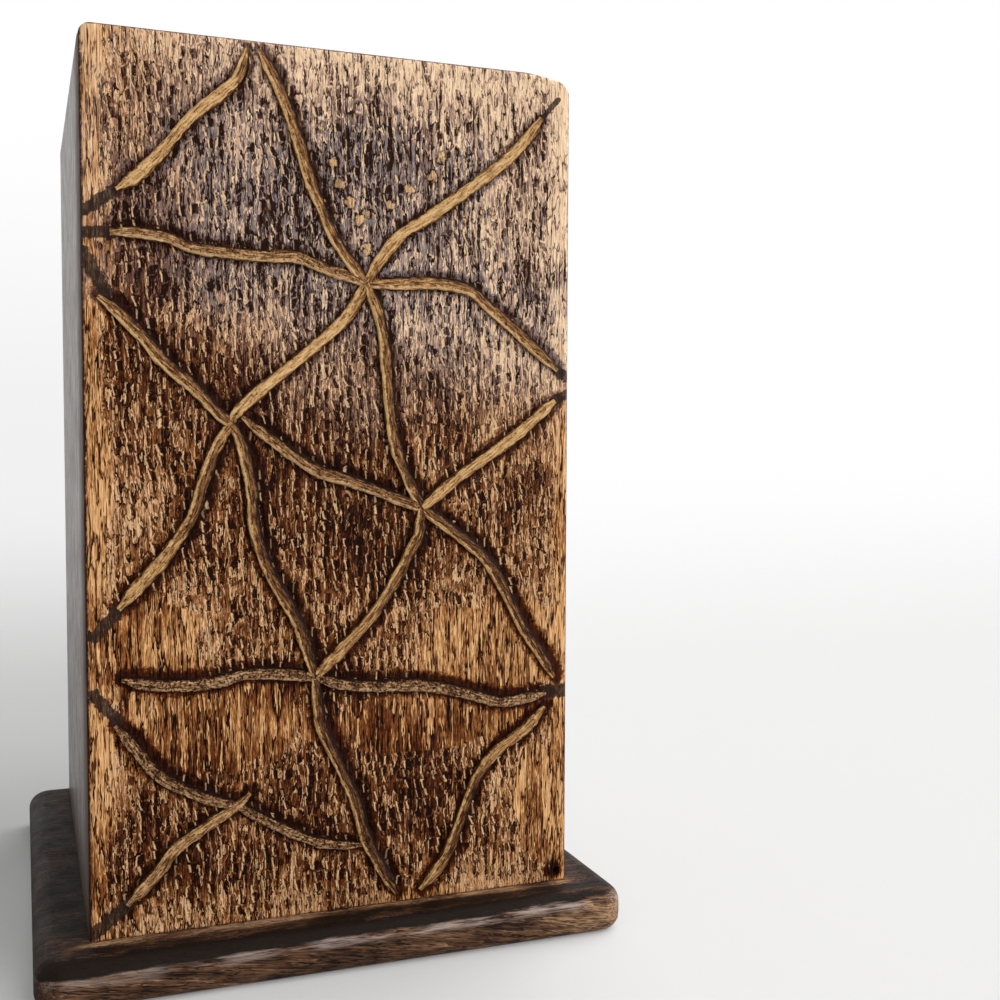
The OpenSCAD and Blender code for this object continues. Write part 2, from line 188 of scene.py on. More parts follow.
# inputs are given with their values: a number, a colour, or None and three numbers for a vector
def newGroup(name, inputs, outputs, outputKind="Float"):
    tree = bpy.data.node_groups.new(name, "ShaderNodeTree")
    for label, value in inputs.items():
        kind = "Float" if isinstance(value, float) else "Color" if value and len(value) == 4 else "Vector"
        socket = tree.interface.new_socket(name=label, in_out="INPUT", socket_type="NodeSocket" + kind)
        if value is not None:
            socket.default_value = value
    for label in outputs:
        tree.interface.new_socket(name=label, in_out="OUTPUT", socket_type="NodeSocket" + outputKind)
    given, result = tree.nodes.new("NodeGroupInput").outputs, tree.nodes.new("NodeGroupOutput").inputs
    return tree, given, lambda label, value: tree.links.new(value, result[label])


def useGroup(tree, group, **inputs):
    made = tree.nodes.new("ShaderNodeGroup")
    made.node_tree = group
    for key, value in inputs.items():
        join(tree, value, made.inputs[key])
    return made.outputs


def newMaterial(name):
    made = bpy.data.materials.new(name)
    made.use_nodes = True
    tree = made.node_tree
    tree.nodes.clear()
    return made, tree


def finishMaterial(tree, colour, roughness, normal, **plain):
    skin = addNode(tree, "ShaderNodeBsdfPrincipled", {"Base Color": colour, "Roughness": roughness,
                                                      "Normal": normal, **plain})
    addNode(tree, "ShaderNodeOutputMaterial", {"Surface": skin.outputs[0]})


def bump(tree, height, strength, distance):
    made = addNode(tree, "ShaderNodeBump", {"Height": height, "Strength": strength, "Distance": distance})
    return made.outputs[0]


def millimetres(tree):
    place = tree.nodes.new("ShaderNodeTexCoord")
    return scaled(tree, place.outputs["Object"], (1000, 1000, 1000))


# shared effects

# grain runs along the local Z of the vector it is given, in millimetres
def buildGrain():
    inputs = {"Vector": None, "Spacing": 5.0, "Sway": 30.0, "PoreShare": 0.4}
    tree, given, give = newGroup("woodGrain", inputs, ["Figure", "Streak", "Lines", "Pores"])
    sway = waver(tree, given["Vector"], (0.03, 0.03, 0.008))

    def swayed(amount):
        aside = addNode(tree, "ShaderNodeCombineXYZ", {"X": times(tree, sway, amount)})
        return vectorMaths(tree, "ADD", given["Vector"], aside.outputs[0])

    rings = addNode(tree, "ShaderNodeVectorMath", {0: scaled(tree, swayed(given["Sway"]), (1, 1, 0.05))},
                    operation="LENGTH").outputs["Value"]
    phase = maths(tree, "DIVIDE", rings, given["Spacing"])
    wave = maths(tree, "SINE", times(tree, phase, 2 * math.pi))
    give("Figure", timesPlus(tree, wave, 0.5, 0.5))
    fibre = swayed(7.0)
    broad = noise(tree, scaled(tree, fibre, (0.55, 0.55, 0.03)), 1.0, 3.0, 0.55)
    fine = noise(tree, scaled(tree, fibre, (2.6, 2.6, 0.10)), 1.0, 2.0, 0.5)
    give("Streak", plus(tree, times(tree, broad, 0.55), times(tree, fine, 0.45)))
    lines = noise(tree, scaled(tree, fibre, (1.35, 1.35, 0.075)), 1.0, 3.0, 0.62)
    give("Lines", stepped(tree, lines, 0.57, 0.66))
    pores = noise(tree, scaled(tree, fibre, (4.4, 4.4, 0.32)), 1.0, 1.0, 0.5)
    poreEdge = minus(tree, 0.82, times(tree, given["PoreShare"], 0.4))
    give("Pores", stepped(tree, pores, poreEdge, plus(tree, poreEdge, 0.06)))
    return tree


# how near a point is to an edge of a board, worn unevenly: 1 on the edge
def buildWear():
    inputs = {"Vector": None, "Centre": (0, 0, 0), "Half": (10, 10, 10), "Width": 2.0, "Unevenness": 0.6}
    tree, given, give = newGroup("edgeWear", inputs, ["Wear"])
    fromCentre = vectorMaths(tree, "SUBTRACT", given["Vector"], given["Centre"])
    fromCentre = vectorMaths(tree, "ABSOLUTE", fromCentre)
    sides = parted(tree, vectorMaths(tree, "SUBTRACT", given["Half"], fromCentre))
    least = maths(tree, "MINIMUM", sides[0], sides[1])
    most = maths(tree, "MAXIMUM", sides[0], sides[1])
    edgeGap = maths(tree, "MAXIMUM", least, maths(tree, "MINIMUM", most, sides[2]))
    shift = times(tree, waver(tree, given["Vector"], (0.22, 0.22, 0.22), 4.0, 0.6),
                  times(tree, given["Unevenness"], given["Width"]))
    reach = plus(tree, given["Width"], times(tree, shift, 3.0))
    reach = maths(tree, "MAXIMUM", reach, 0.05)
    nearEdge = minus(tree, 1.0, maths(tree, "DIVIDE", edgeGap, reach), clamp=True)
    give("Wear", stepped(tree, nearEdge, 0.0, 0.7))
    return tree


# colour of wood under a wiped stain: Bare shows where Depth is 0, Deep where it is 1
def buildStain():
    inputs = {"Bare": (0.45, 0.24, 0.09, 1), "Stain": (0.10, 0.04, 0.016, 1), "Deep": (0.02, 0.01, 0.006, 1),
              "Depth": 0.5}
    tree, given, give = newGroup("wipedStain", inputs, ["Colour"], "Color")
    firstCoat = blendColour(tree, stepped(tree, given["Depth"], 0.12, 0.56), given["Bare"], given["Stain"])
    give("Colour", blendColour(tree, stepped(tree, given["Depth"], 0.5, 0.95), firstCoat, given["Deep"]))
    return tree


# fine rubbing marks and dust specks, from 0 to 1
def buildScuffs():
    tree, given, give = newGroup("fineScuffs", {"Vector": None, "Size": 1.0}, ["Scuffs", "Specks"])
    place = addNode(tree, "ShaderNodeVectorMath", {0: given["Vector"], "Scale": given["Size"]},
                    operation="SCALE").outputs[0]
    give("Scuffs", stepped(tree, noise(tree, place, 0.09, 6.0, 0.7), 0.4, 0.68))
    give("Specks", stepped(tree, noise(tree, place, 1.7, 2.0, 0.5), 0.62, 0.74))
    return tree


# rows of gouge cuts on an upright face: a pale slanted lip with a dark hollow beside it
def buildCuts():
    tree, given, give = newGroup("gougeCuts", {"Vector": None, "Pitch": 3.1, "Rise": 3.1}, ["Hollow", "Lip"])
    place = parted(tree, given["Vector"])
    drift = waver(tree, given["Vector"], (0.10, 0.1, 0.055))
    climb = waver(tree, given["Vector"], (0.22, 0.1, 0.05), 1.0)
    ragged = minus(tree, noise(tree, given["Vector"], 1.3, 3.0, 0.65), 0.5)
    across = maths(tree, "DIVIDE", timesPlus(tree, drift, 6.0, place[0]), given["Pitch"])
    column = maths(tree, "FLOOR", across)
    columnShift = addNode(tree, "ShaderNodeTexWhiteNoise", {"W": column}, noise_dimensions="1D").outputs[0]
    upward = plus(tree, maths(tree, "DIVIDE", place[2], given["Rise"]),
                  timesPlus(tree, climb, 2.0, times(tree, columnShift, 0.6)))
    cell = addNode(tree, "ShaderNodeCombineXYZ", {"X": column, "Y": maths(tree, "FLOOR", upward)})
    chance = addNode(tree, "ShaderNodeTexWhiteNoise", {"Vector": cell.outputs[0]}, noise_dimensions="2D")
    chances = parted(tree, chance.outputs["Color"])

    # place inside a cell in millimetres, plain and jittered
    def inCell(value, size, luck, jitter):
        inside = times(tree, minus(tree, maths(tree, "FRACT", value), 0.5), size)
        return inside, timesPlus(tree, minus(tree, luck, 0.5), jitter, inside)

    cutX = inCell(across, given["Pitch"], chances[0], 0.7)[1]
    cellZ, cutZ = inCell(upward, given["Rise"], chances[1], 0.6)
    cutX = timesPlus(tree, cellZ, timesPlus(tree, chances[2], 0.24, -0.02), cutX)
    cutX = timesPlus(tree, ragged, 0.6, cutX)
    cutZ = timesPlus(tree, ragged, 0.7, cutZ)
    endGap = maths(tree, "ABSOLUTE", cutZ)
    # the lip is a thin line down the left of the cut, with a short hook over its top
    sideGap = maths(tree, "ABSOLUTE", plus(tree, cutX, 0.72))
    side = times(tree, stepped(tree, sideGap, 0.08, 0.28, 1, 0), stepped(tree, endGap, 1.0, 1.3, 1, 0))
    hookGap = maths(tree, "ABSOLUTE", minus(tree, cutZ, 1.0))
    hookReach = maths(tree, "ABSOLUTE", plus(tree, cutX, 0.55))
    hook = times(tree, stepped(tree, hookGap, 0.06, 0.22, 1, 0), stepped(tree, hookReach, 0.2, 0.45, 1, 0))
    hook = times(tree, hook, stepped(tree, chances[0], 0.6, 0.7))
    lip = times(tree, maths(tree, "MAXIMUM", side, hook), stepped(tree, chances[1], 0.05, 0.6, 0.5, 1))
    give("Lip", times(tree, lip, stepped(tree, chances[2], 0.1, 0.6)))
    hollow = times(tree, stepped(tree, cutX, -0.64, -0.40), stepped(tree, cutX, 0.25, 0.95, 1, 0))
    hollow = times(tree, hollow, stepped(tree, endGap, 1.05, 1.35, 1, 0))
    give("Hollow", times(tree, hollow, stepped(tree, chances[1], 0.1, 0.9)))
    return tree


# wood peeled in thin layers along Z: each ends in a dark foot, and the next one starts with a pale rim
def buildLayers():
    tree, given, give = newGroup("peeledLayers", {"Vector": None, "Levels": 8.0, "Roughness": 0.62},
                                 ["Foot", "Rim", "Tone"])
    peel = times(tree, noise(tree, given["Vector"], 1.0, 4.0, given["Roughness"]), given["Levels"])
    inLayer = maths(tree, "FRACT", peel)
    give("Foot", stepped(tree, inLayer, 0.66, 0.95))
    give("Rim", times(tree, stepped(tree, inLayer, 0.0, 0.05), stepped(tree, inLayer, 0.10, 0.28, 1, 0)))
    layer = maths(tree, "FLOOR", peel)
    give("Tone", addNode(tree, "ShaderNodeTexWhiteNoise", {"W": layer}, noise_dimensions="1D").outputs[0])
    return tree


grainGroup, wearGroup, stainGroup, scuffGroup = buildGrain(), buildWear(), buildStain(), buildScuffs()
cutsGroup, layerGroup = buildCuts(), buildLayers()
print("shared effects built")


# carved board

ribs = {
    "height": 1.4,
    "width": 3.3,
    "slim": {5: 3.2, 18: 3.2, 19: 2.7, 20: 3.1},  # narrower ribs, by their place in the list
    "flecked": {4: 0.4, 8: 0.4, 14: 1.0, 15: 1.0, 18: 0.9, 19: 1.0, 20: 0.3},
    "root": 0.8,  # how far the ribs reach into the board
    "across": 16,
    "step": 0.5,
    "knots": {"a": (550, 736), "b": (277, 572), "c": (668, 474), "d": (442, 280), "e": (285, 138)},
    "lines": [
        [(312, 988), (296, 958), (262, 937), (205, 908), (150, 868), (105, 841), (64, 824)],
        [(336, 988), (368, 957), (405, 905), (432, 855), (457, 820), (489, 781), "a"],
        [(932, 946), (895, 916), (830, 880), (690, 820), (625, 795), (580, 764), "a"],
        ["a", (600, 737), (700, 740), (770, 734), (808, 718), (870, 690), (972, 641)],
        [(52, 778), (100, 779), (160, 775), (215, 765), (340, 761), (405, 762), (455, 753), "a"],
        ["a", (530, 714), (495, 688), (430, 655), (305, 595), "b"],
        ["a", (573, 705), (588, 665), (596, 605), (609, 552), (634, 512), "c"],
        [(30, 709), (60, 696), (105, 670), (155, 637), (205, 613), (245, 588), "b"],
        [(298, 580), (350, 557), (400, 536), (455, 517), (520, 506), (635, 481), "c"],
        ["b", (248, 545), (222, 505), (200, 468), (150, 425), (100, 393), (60, 368)],
        ["b", (297, 550), (315, 500), (322, 452), (350, 403), (385, 367), (413, 335), "d"],
        ["c", (700, 488), (750, 511), (820, 538), (880, 562), (966, 603)],
        ["c", (765, 433), (806, 412), (836, 388), (896, 323), (935, 291), (968, 260)],
        ["c", (662, 443), (640, 420), (610, 388), (560, 347), (505, 314), "d"],
        [(64, 290), (110, 284), (170, 280), (240, 281), (320, 288), "d"],
        ["d", (490, 270), (560, 264), (650, 262), (720, 255), (790, 243), (850, 234), (948, 240)],
        ["d", (447, 245), (456, 217), (485, 180), (525, 128), (550, 78), (612, 12)],
        [(945, 223), (900, 197), (845, 177), (800, 152), (772, 120), (722, 50), (662, 12)],
        [(52, 240), (85, 216), (125, 185), (165, 167), (225, 149), "e"],
        ["e", (325, 122), (375, 105), (440, 86), (500, 78), (543, 75)],
        [(308, 150), "e", (225, 118), (165, 96), (130, 71), (70, 37)],
    ],
}
board = {
    "cells": (236, 402),
    "width": 126.0,
    "height": 220.0,
    "faceY": -67.5,
    "backY": -59.5,
    "footZ": 12.0,
    "arris": 1.6,
    "footArris": 0.7,
    "cornerRadius": 2.8,
    "cornerWear": (14.0, 2.2),  # how far in from the right, and how deep
    "pokeHole": (123.2, 2.8, 1.1),  # place from the lower left corner, and radius
    "socketRadius": 1.8,
    "skin": 1.5,
    "grooveDepth": 0.45,
    "knobs": [(480, 872), (495, 848), (640, 848), (710, 888), (515, 828), (535, 808), (600, 828), (690, 865),
              (550, 775)],
    "knobField": ((76, 187), (34, 25)),  # where small knobs stand all over: middle and half size in mm
    "border": (3, 9),  # the gouge cuts end between these distances from the long edges
    # how deep the stain lies, from 0 to 1, and what makes it deeper or paler; the sheen zone and pink
    # highlight entries are painted light, the hole entry painted shade
    "stain": {"middle": 0.50, "broad": 0.24, "fine": 0.2, "foot": 0.19, "top": 0.15, "border": (0.20, -0.12),
              "paintedSheenZone": 0.05, "paintedSheenRight": -0.06, "low": -0.03, "lowRight": -0.13, "paintedPinkHighlight": -0.15,
              "hole": 0.8},
    "paintedSheenFrom": (104, 172),  # the upper part's painted sheen begins between these heights
    # plain grain with no gouge cuts: place in thousandths, half width and half height in mm
    "quiet": [(250, 230, 26, 12), (700, 215, 32, 8), (925, 110, 6, 18), (820, 300, 20, 16),
              (130, 320, 12, 14)],
    # dark flat places past the ends of ribs: from, to, how narrow
    "darkEnds": [((60, 822), (8, 800), 1.0), ((50, 778), (5, 776), 1.0), ((45, 712), (3, 755), 0.9),
                 ((62, 368), (15, 338), 1.0), ((55, 245), (12, 275), 1.0), ((72, 38), (5, 8), 0.9),
                 ((972, 641), (992, 632), 1.0), ((966, 603), (997, 612), 1.1),
                 ((950, 242), (1000, 242), 0.75), ((935, 948), (972, 976), 2.2)],
    # patches of darker (+) or paler (-) stain: place in thousandths, radius in mm, amount
    "patches": [(524, 418, 17, 0.16), (413, 490, 13, 0.14), (667, 150, 13, 0.2), (190, 200, 12, 0.14),
                (365, 90, 14, 0.12), (889, 500, 12, 0.08), (603, 636, 14, 0.06), (206, 336, 17, -0.12),
                (95, 470, 10, -0.2), (700, 335, 13, -0.22), (349, 245, 15, -0.16), (690, 225, 14, -0.16),
                (70, 190, 10, -0.10), (930, 127, 13, -0.06), (80, 945, 12, -0.14), (560, 345, 9, -0.12),
                (330, 830, 17, 0.10), (760, 850, 19, -0.09), (960, 300, 13, -0.20), (170, 290, 13, -0.14),
                (50, 90, 9, 0.12), (40, 550, 8, -0.10), (440, 500, 9, -0.06), (190, 360, 9, 0.06)],
}


def latticeNoise(x, z, seed):
    table = np.random.default_rng(seed).random((256, 256))
    ix, iz = np.floor(x).astype(int), np.floor(z).astype(int)
    fx, fz = x - ix, z - iz
    fx, fz = fx * fx * (3 - 2 * fx), fz * fz * (3 - 2 * fz)
    a, b = table[ix % 256, iz % 256], table[(ix + 1) % 256, iz % 256]
    c, d = table[ix % 256, (iz + 1) % 256], table[(ix + 1) % 256, (iz + 1) % 256]
    return a + (b - a) * fx + (c - a) * fz + (a - b - c + d) * fx * fz


# clouds about zero, of a width and a height in millimetres
def cloud(x, z, wide, tall, seed):
    return latticeNoise(x / wide, z / tall, seed) - 0.5


def ease(value, low, high):
    t = np.clip((value - low) / (high - low), 0, 1)
    return t * t * (3 - 2 * t)


# distance in millimetres from a place given in thousandths of the face, with z counted for less or more
def awayFrom(x, z, place, flat=1.0):
    return np.hypot(x - place[0] * board["width"] / 1000, (z - place[1] * board["height"] / 1000) * flat)


# a smooth path through points in thousandths of the face, at even steps in millimetres
def smoothPath(points, step):
    p = [np.array(ribs["knots"][q] if isinstance(q, str) else q, float) for q in points]
    p = [q * np.array([board["width"], board["height"]]) / 1000 for q in p]
    path = []
    for i in range(len(p) - 1):
        a, b, c, d = p[max(i - 1, 0)], p[i], p[i + 1], p[min(i + 2, len(p) - 1)]
        for t in np.arange(0, 1, 1 / 24):
            path.append(0.5 * (2 * b + (c - a) * t + (2 * a - 5 * b + 4 * c - d) * t ** 2
                               + (3 * b - a - 3 * c + d) * t ** 3))
    path = np.array(path + [p[-1]])
    walked = np.concatenate([[0], np.cumsum(np.hypot(*np.diff(path, axis=0).T))])
    even = np.linspace(0, walked[-1], max(int(walked[-1] / step), 4) + 1)
    return np.stack([np.interp(even, walked, path[:, 0]), np.interp(even, walked, path[:, 1])], 1), even


# a rib is thinner at a free end, and a little thinner where it meets a knot
def ribSize(points, along, total, number):
    startFree, endFree = not isinstance(points[0], str), not isinstance(points[-1], str)
    fromStart = ease(along, 0, 5) * (0.55 if startFree else 0.2) + (0.45 if startFree else 0.8)
    fromEnd = ease(total - along, 0, 5) * (0.55 if endFree else 0.2) + (0.45 if endFree else 0.8)
    size = fromStart * fromEnd
    wobble = cloud(along, np.full(along.shape, number * 7.3), 5.0, 1, 11 + number)
    swell = cloud(along, np.full(along.shape, number * 3.1), 3.1, 1, 47 + number)
    half = ribs["slim"].get(number, ribs["width"]) / 2 * size * (1 + 0.25 * wobble)
    top = ribs["height"] * (0.3 + 0.7 * size) * (0.94 + 0.26 * swell)
    return half, top


# distance from every point to a path: how far, how far along, and which way it lies from the path
def pathField(x, z, path):
    far = np.full(x.shape, 1e9)
    along = np.zeros(x.shape)
    awayX, awayZ = np.zeros(x.shape), np.zeros(x.shape)
    start = 0.0
    for (ax, az), (bx, bz) in zip(path[:-1], path[1:]):
        length = math.hypot(bx - ax, bz - az)
        t = np.clip(((x - ax) * (bx - ax) + (z - az) * (bz - az)) / length ** 2, 0, 1)
        dx, dz = x - (ax + t * (bx - ax)), z - (az + t * (bz - az))
        d = np.hypot(dx, dz)
        near = d < far
        far = np.where(near, d, far)
        along = np.where(near, start + t * length, along)
        awayX, awayZ = np.where(near, dx, awayX), np.where(near, dz, awayZ)
        start += length
    size = np.maximum(np.hypot(awayX, awayZ), 1e-6)
    return far, along, start, awayX / size, awayZ / size


# gap to the nearest rib, which side of it, and the groove that the gouge left beside it
def ribSurroundings(x, z):
    ribGap, ribSide, groove = np.full(x.shape, 12.0), np.zeros(x.shape), np.zeros(x.shape)
    for number, points in enumerate(ribs["lines"]):
        path, even = smoothPath(points, 1.5)
        low, high = path.min(0) - 12, path.max(0) + 12
        pick = np.where((x > low[0]) & (x < high[0]) & (z > low[1]) & (z < high[1]))[0]
        far, along, total, ax, az = pathField(x[pick], z[pick], path)
        half, top = ribSize(points, along, total, number)
        gap = far - half
        side = 0.8 * ax + 0.6 * az  # 1 on the upper right of the rib, -1 on its lower left
        cut = np.exp(-((gap - 0.35) / (0.75 + 0.35 * side)) ** 2) * top / ribs["height"]
        groove[pick] = np.maximum(groove[pick], cut * (0.75 + 0.25 * side))
        closer = gap < ribGap[pick]
        ribSide[pick] = np.where(closer, side, ribSide[pick])
        ribGap[pick] = np.minimum(ribGap[pick], gap)
    return ribGap, ribSide, groove


def knobGaps(x, z):
    gap = np.full(x.shape, 6.0)
    for place in board["knobs"]:
        gap = np.minimum(gap, awayFrom(x, z, place) + cloud(x, z, 1.1, 1.1, 31) * 0.8)
    (middleX, middleZ), (wide, tall) = board["knobField"]
    reach = np.hypot((x - middleX) / wide, (z - middleZ) / tall) + 0.4 * cloud(x, z, 9, 9, 33)
    return gap, 3.0 - 3.0 * ease(reach, 1.1, 0.7)


def endGaps(x, z):
    gap = np.full(x.shape, 6.0)
    for first, last, narrowed in board["darkEnds"]:
        path = np.array([first, last], float) * np.array([board["width"], board["height"]]) / 1000
        gap = np.minimum(gap, pathField(x, z, path)[0] * narrowed)
    return gap


# how far each kind of tooling reaches, how deep the stain lies with painted sheen, highlight and shade mixed
# in, and the height of the relief
def carveField(x, z):
    w, h = board["width"], board["height"]
    stain = board["stain"]
    ribGap, ribSide, groove = ribSurroundings(x, z)
    knobGap, knobLess = knobGaps(x, z)
    endGap = endGaps(x, z)

    sideGap = np.minimum(x, w - x)
    edge = np.minimum(sideGap, np.minimum(z, h - z))
    border = 1 - ease(sideGap + 3 * cloud(x, z, 8, 16, 21), *board["border"])
    tooled = (1 - 0.65 * border) * (0.5 + 0.5 * ease(edge, 1.0, 5.0))
    tooled *= 0.45 + 0.55 * ease(latticeNoise(x / 17, z / 15, 22) + 0.2, 0.25, 0.6)
    for cx, cz, reachX, reachZ in board["quiet"]:
        far = np.hypot((x - cx * w / 1000) / reachX, (z - cz * h / 1000) / reachZ)
        tooled *= ease(far + 0.5 * cloud(x, z, 5, 6, 26), 0.6, 1.2)
    density = stain["middle"] + stain["broad"] * cloud(x, z, 13, 15, 23)
    density = density + stain["fine"] * cloud(x, z, 4.5, 8, 24)
    for cx, cz, radius, amount in board["patches"]:
        patch = amount * np.exp(-(awayFrom(x, z, (cx, cz), 0.85) / radius) ** 2)
        density += patch
        tooled += patch
    lowRight = ease(x, 60, 70) * (1 - ease(z, 60, 110))
    density -= (stain["border"][0] + stain["border"][1] * lowRight) * border
    density -= stain["foot"] * (1 - ease(z, 2, 13)) + stain["top"] * (1 - ease(h - z, 3, 14))
    # painted shade round the poke hole, centred a little to its left and above it
    holeGap = np.hypot(x - board["pokeHole"][0] + 1.0, z - board["pokeHole"][1] - 0.6)
    density += stain["hole"] * np.exp(-(holeGap / 2.6) ** 4)

    # painted sheen: the upper part gets paler, pinker stain and violet-grey flats, standing in for a
    # reflection
    paintedSheenZone = ease(z + 0.25 * np.minimum(x - 60, 20) + 22 * cloud(x, z, 14, 18, 27), *board["paintedSheenFrom"])
    paintedSheenZone *= 0.40 + 0.60 * ease(x + 8 * cloud(x, z, 6, 18, 29), 6, 50)
    density += paintedSheenZone * (stain["paintedSheenZone"] + stain["paintedSheenRight"] * ease(x, 20, 60))
    density += (1 - paintedSheenZone) * (stain["low"] + stain["lowRight"] * ease(x, 76, 108))
    # painted highlight: paler and pinker along the top and the right edge of the upper part
    paintedPinkHighlight = 0.25 + 0.75 * np.maximum(1 - ease(w - x, 6, 34), 1 - ease(h - z, 4, 30)) * ease(z, 150, 180)
    paintedPinkHighlight += 0.5 * ease(163 - z, 0, 25) + 0.5 * cloud(x, z, 11, 16, 28)
    density += stain["paintedPinkHighlight"] * paintedSheenZone * np.clip(paintedPinkHighlight, 0, 1)

    height = -board["grooveDepth"] * groove - 0.1
    height += 0.34 * cloud(x, z, 10, 12, 61) + 0.2 * cloud(x, z, 2.4, 9, 62)
    height += 0.45 * (1 - ease(knobGap, 0.7, 1.6)) + 0.35 * (1 - ease(endGap, 1.1, 1.7))
    height *= ease(edge, 0.0, 1.8)
    return height, {"ribGap": ribGap, "ribSide": ribSide, "stainAndPaintedLightDepth": np.clip(density, 0, 1),
                    "tooled": np.clip(tooled, 0, 1), "knobGap": knobGap, "endGap": endGap,
                    "paintedSheenZone": paintedSheenZone, "paintedPinkHighlight": np.clip(paintedPinkHighlight, 0, 1), "knobLess": knobLess}


# places of the grid's lines along one side, closer together on the rounded arris
def gridLine(count, length, startArris, endArris, arcCells=4):
    arc = np.linspace(0, math.pi / 2, arcCells + 1)[:-1]
    start = startArris * (1 - np.cos(arc))
    end = length - endArris * (1 - np.cos(arc))[::-1]
    middle = np.linspace(startArris, length - endArris, count + 1 - 2 * arcCells)
    return np.concatenate([start, middle, end])


def arrisDrop(distance, radius):
    inside = np.clip(radius - distance, 0, radius)
    return radius - np.sqrt(radius ** 2 - inside ** 2)


# the right end of the top edge is worn down
def wornTop(x, z):
    reach, deep = board["cornerWear"]
    worn = np.clip((x - (board["width"] - reach)) / reach, 0, 1) ** 1.7 * deep
    return z - worn * ease(z, board["height"] - 34, board["height"])


columns, rows = board["cells"]
bm = bmesh.new()
bmesh.ops.create_grid(bm, x_segments=columns, y_segments=rows, size=1.0)
flat = np.array([v.co for v in bm.verts])
xLine = gridLine(columns, board["width"], board["arris"], board["arris"])
zLine = gridLine(rows, board["height"], board["footArris"], board["arris"])
xAt = xLine[np.rint((flat[:, 0] + 1) / 2 * columns).astype(int)]
zAt = zLine[np.rint((flat[:, 1] + 1) / 2 * rows).astype(int)]
sideGap = np.minimum(xAt, board["width"] - xAt)
topGap, footGap = board["height"] - zAt, zAt
drop = arrisDrop(np.minimum(sideGap, topGap), board["arris"])
drop = np.maximum(drop, arrisDrop(footGap, board["footArris"]))
relief, fields = carveField(xAt, zAt)

# round the two top corners
radius = board["cornerRadius"]
qx, qz = radius - sideGap, radius - topGap
inCorner = (qx > 0) & (qz > 0)
pull = np.where(inCorner, np.maximum(qx, qz) / np.maximum(np.hypot(qx, qz), 1e-9), 1)
toRight = xAt > board["width"] / 2
newX = np.where(inCorner, np.where(toRight, board["width"] - radius + qx * pull, radius - qx * pull), xAt)
newZ = wornTop(newX, np.where(inCorner, board["height"] - radius + qz * pull, zAt))

newY = board["faceY"] + drop - relief
for v, x, z, y in zip(bm.verts, newX - board["width"] / 2, newZ + board["footZ"], newY):
    v.co = (x * mm, y * mm, z * mm)
layers = {name: bm.verts.layers.float.new(name) for name in fields}
for name, values in fields.items():
    for v, value in zip(bm.verts, values):
        v[layers[name]] = value

# the poke hole, the wider socket behind it, and the board's edges and back
holeX, holeZ, holeRadius = board["pokeHole"]
holeX, holeZ = holeX - board["width"] / 2, holeZ + board["footZ"]


def fromHole(place):
    return math.hypot(place.x / mm - holeX, place.z / mm - holeZ)


def setRadius(v, radius):
    reach = radius / fromHole(v.co)
    v.co.x = (holeX + (v.co.x / mm - holeX) * reach) * mm
    v.co.z = (holeZ + (v.co.z / mm - holeZ) * reach) * mm


def openEdges(near):
    return [e for e in bm.edges if e.is_boundary and (fromHole(e.verts[0].co) < 2.3) == near]


def extrudeTo(edges, y, radius=None):
    made = bmesh.ops.extrude_edge_only(bm, edges=edges)
    for v in [g for g in made["geom"] if isinstance(g, bmesh.types.BMVert)]:
        v.co.y = y * mm
        if radius:
            # the poke hole's walls are painted dark as shade
            v[layers["stainAndPaintedLightDepth"]] = 0.9
            setRadius(v, radius)
    return [g for g in made["geom"] if isinstance(g, bmesh.types.BMEdge) and g.is_boundary]


inHole = [f for f in bm.faces if fromHole(f.calc_center_median()) < holeRadius]
bmesh.ops.delete(bm, geom=inHole, context="FACES")
for v in {v for e in openEdges(True) for v in e.verts}:
    setRadius(v, holeRadius)
skinY = board["faceY"] + board["skin"]
holeEdges = extrudeTo(openEdges(True), skinY, holeRadius)
holeEdges = extrudeTo(holeEdges, skinY, board["socketRadius"])
holeEdges = extrudeTo(holeEdges, board["backY"], board["socketRadius"])
rimEdges = extrudeTo(openEdges(False), board["backY"])
bmesh.ops.triangle_fill(bm, use_beauty=True, edges=holeEdges + rimEdges, normal=(0, 1, 0))
bmesh.ops.recalc_face_normals(bm, faces=bm.faces)


def finishMesh(bm, name):
    mesh = bpy.data.meshes.new(name)
    bm.to_mesh(mesh)
    openLeft = sum(1 for e in bm.edges if not e.is_manifold)
    bm.free()
    mesh.polygons.foreach_set("use_smooth", [True] * len(mesh.polygons))
    mesh.set_sharp_from_angle(angle=math.radians(60))
    made = bpy.data.objects.new(name, mesh)
    bpy.context.scene.collection.objects.link(made)
    triangles = sum(len(p.vertices) - 2 for p in mesh.polygons)
    print(name + ":", triangles, "triangles,", openLeft, "open edges")
    return made


carvedBoard = finishMesh(bm, "carvedBoard")


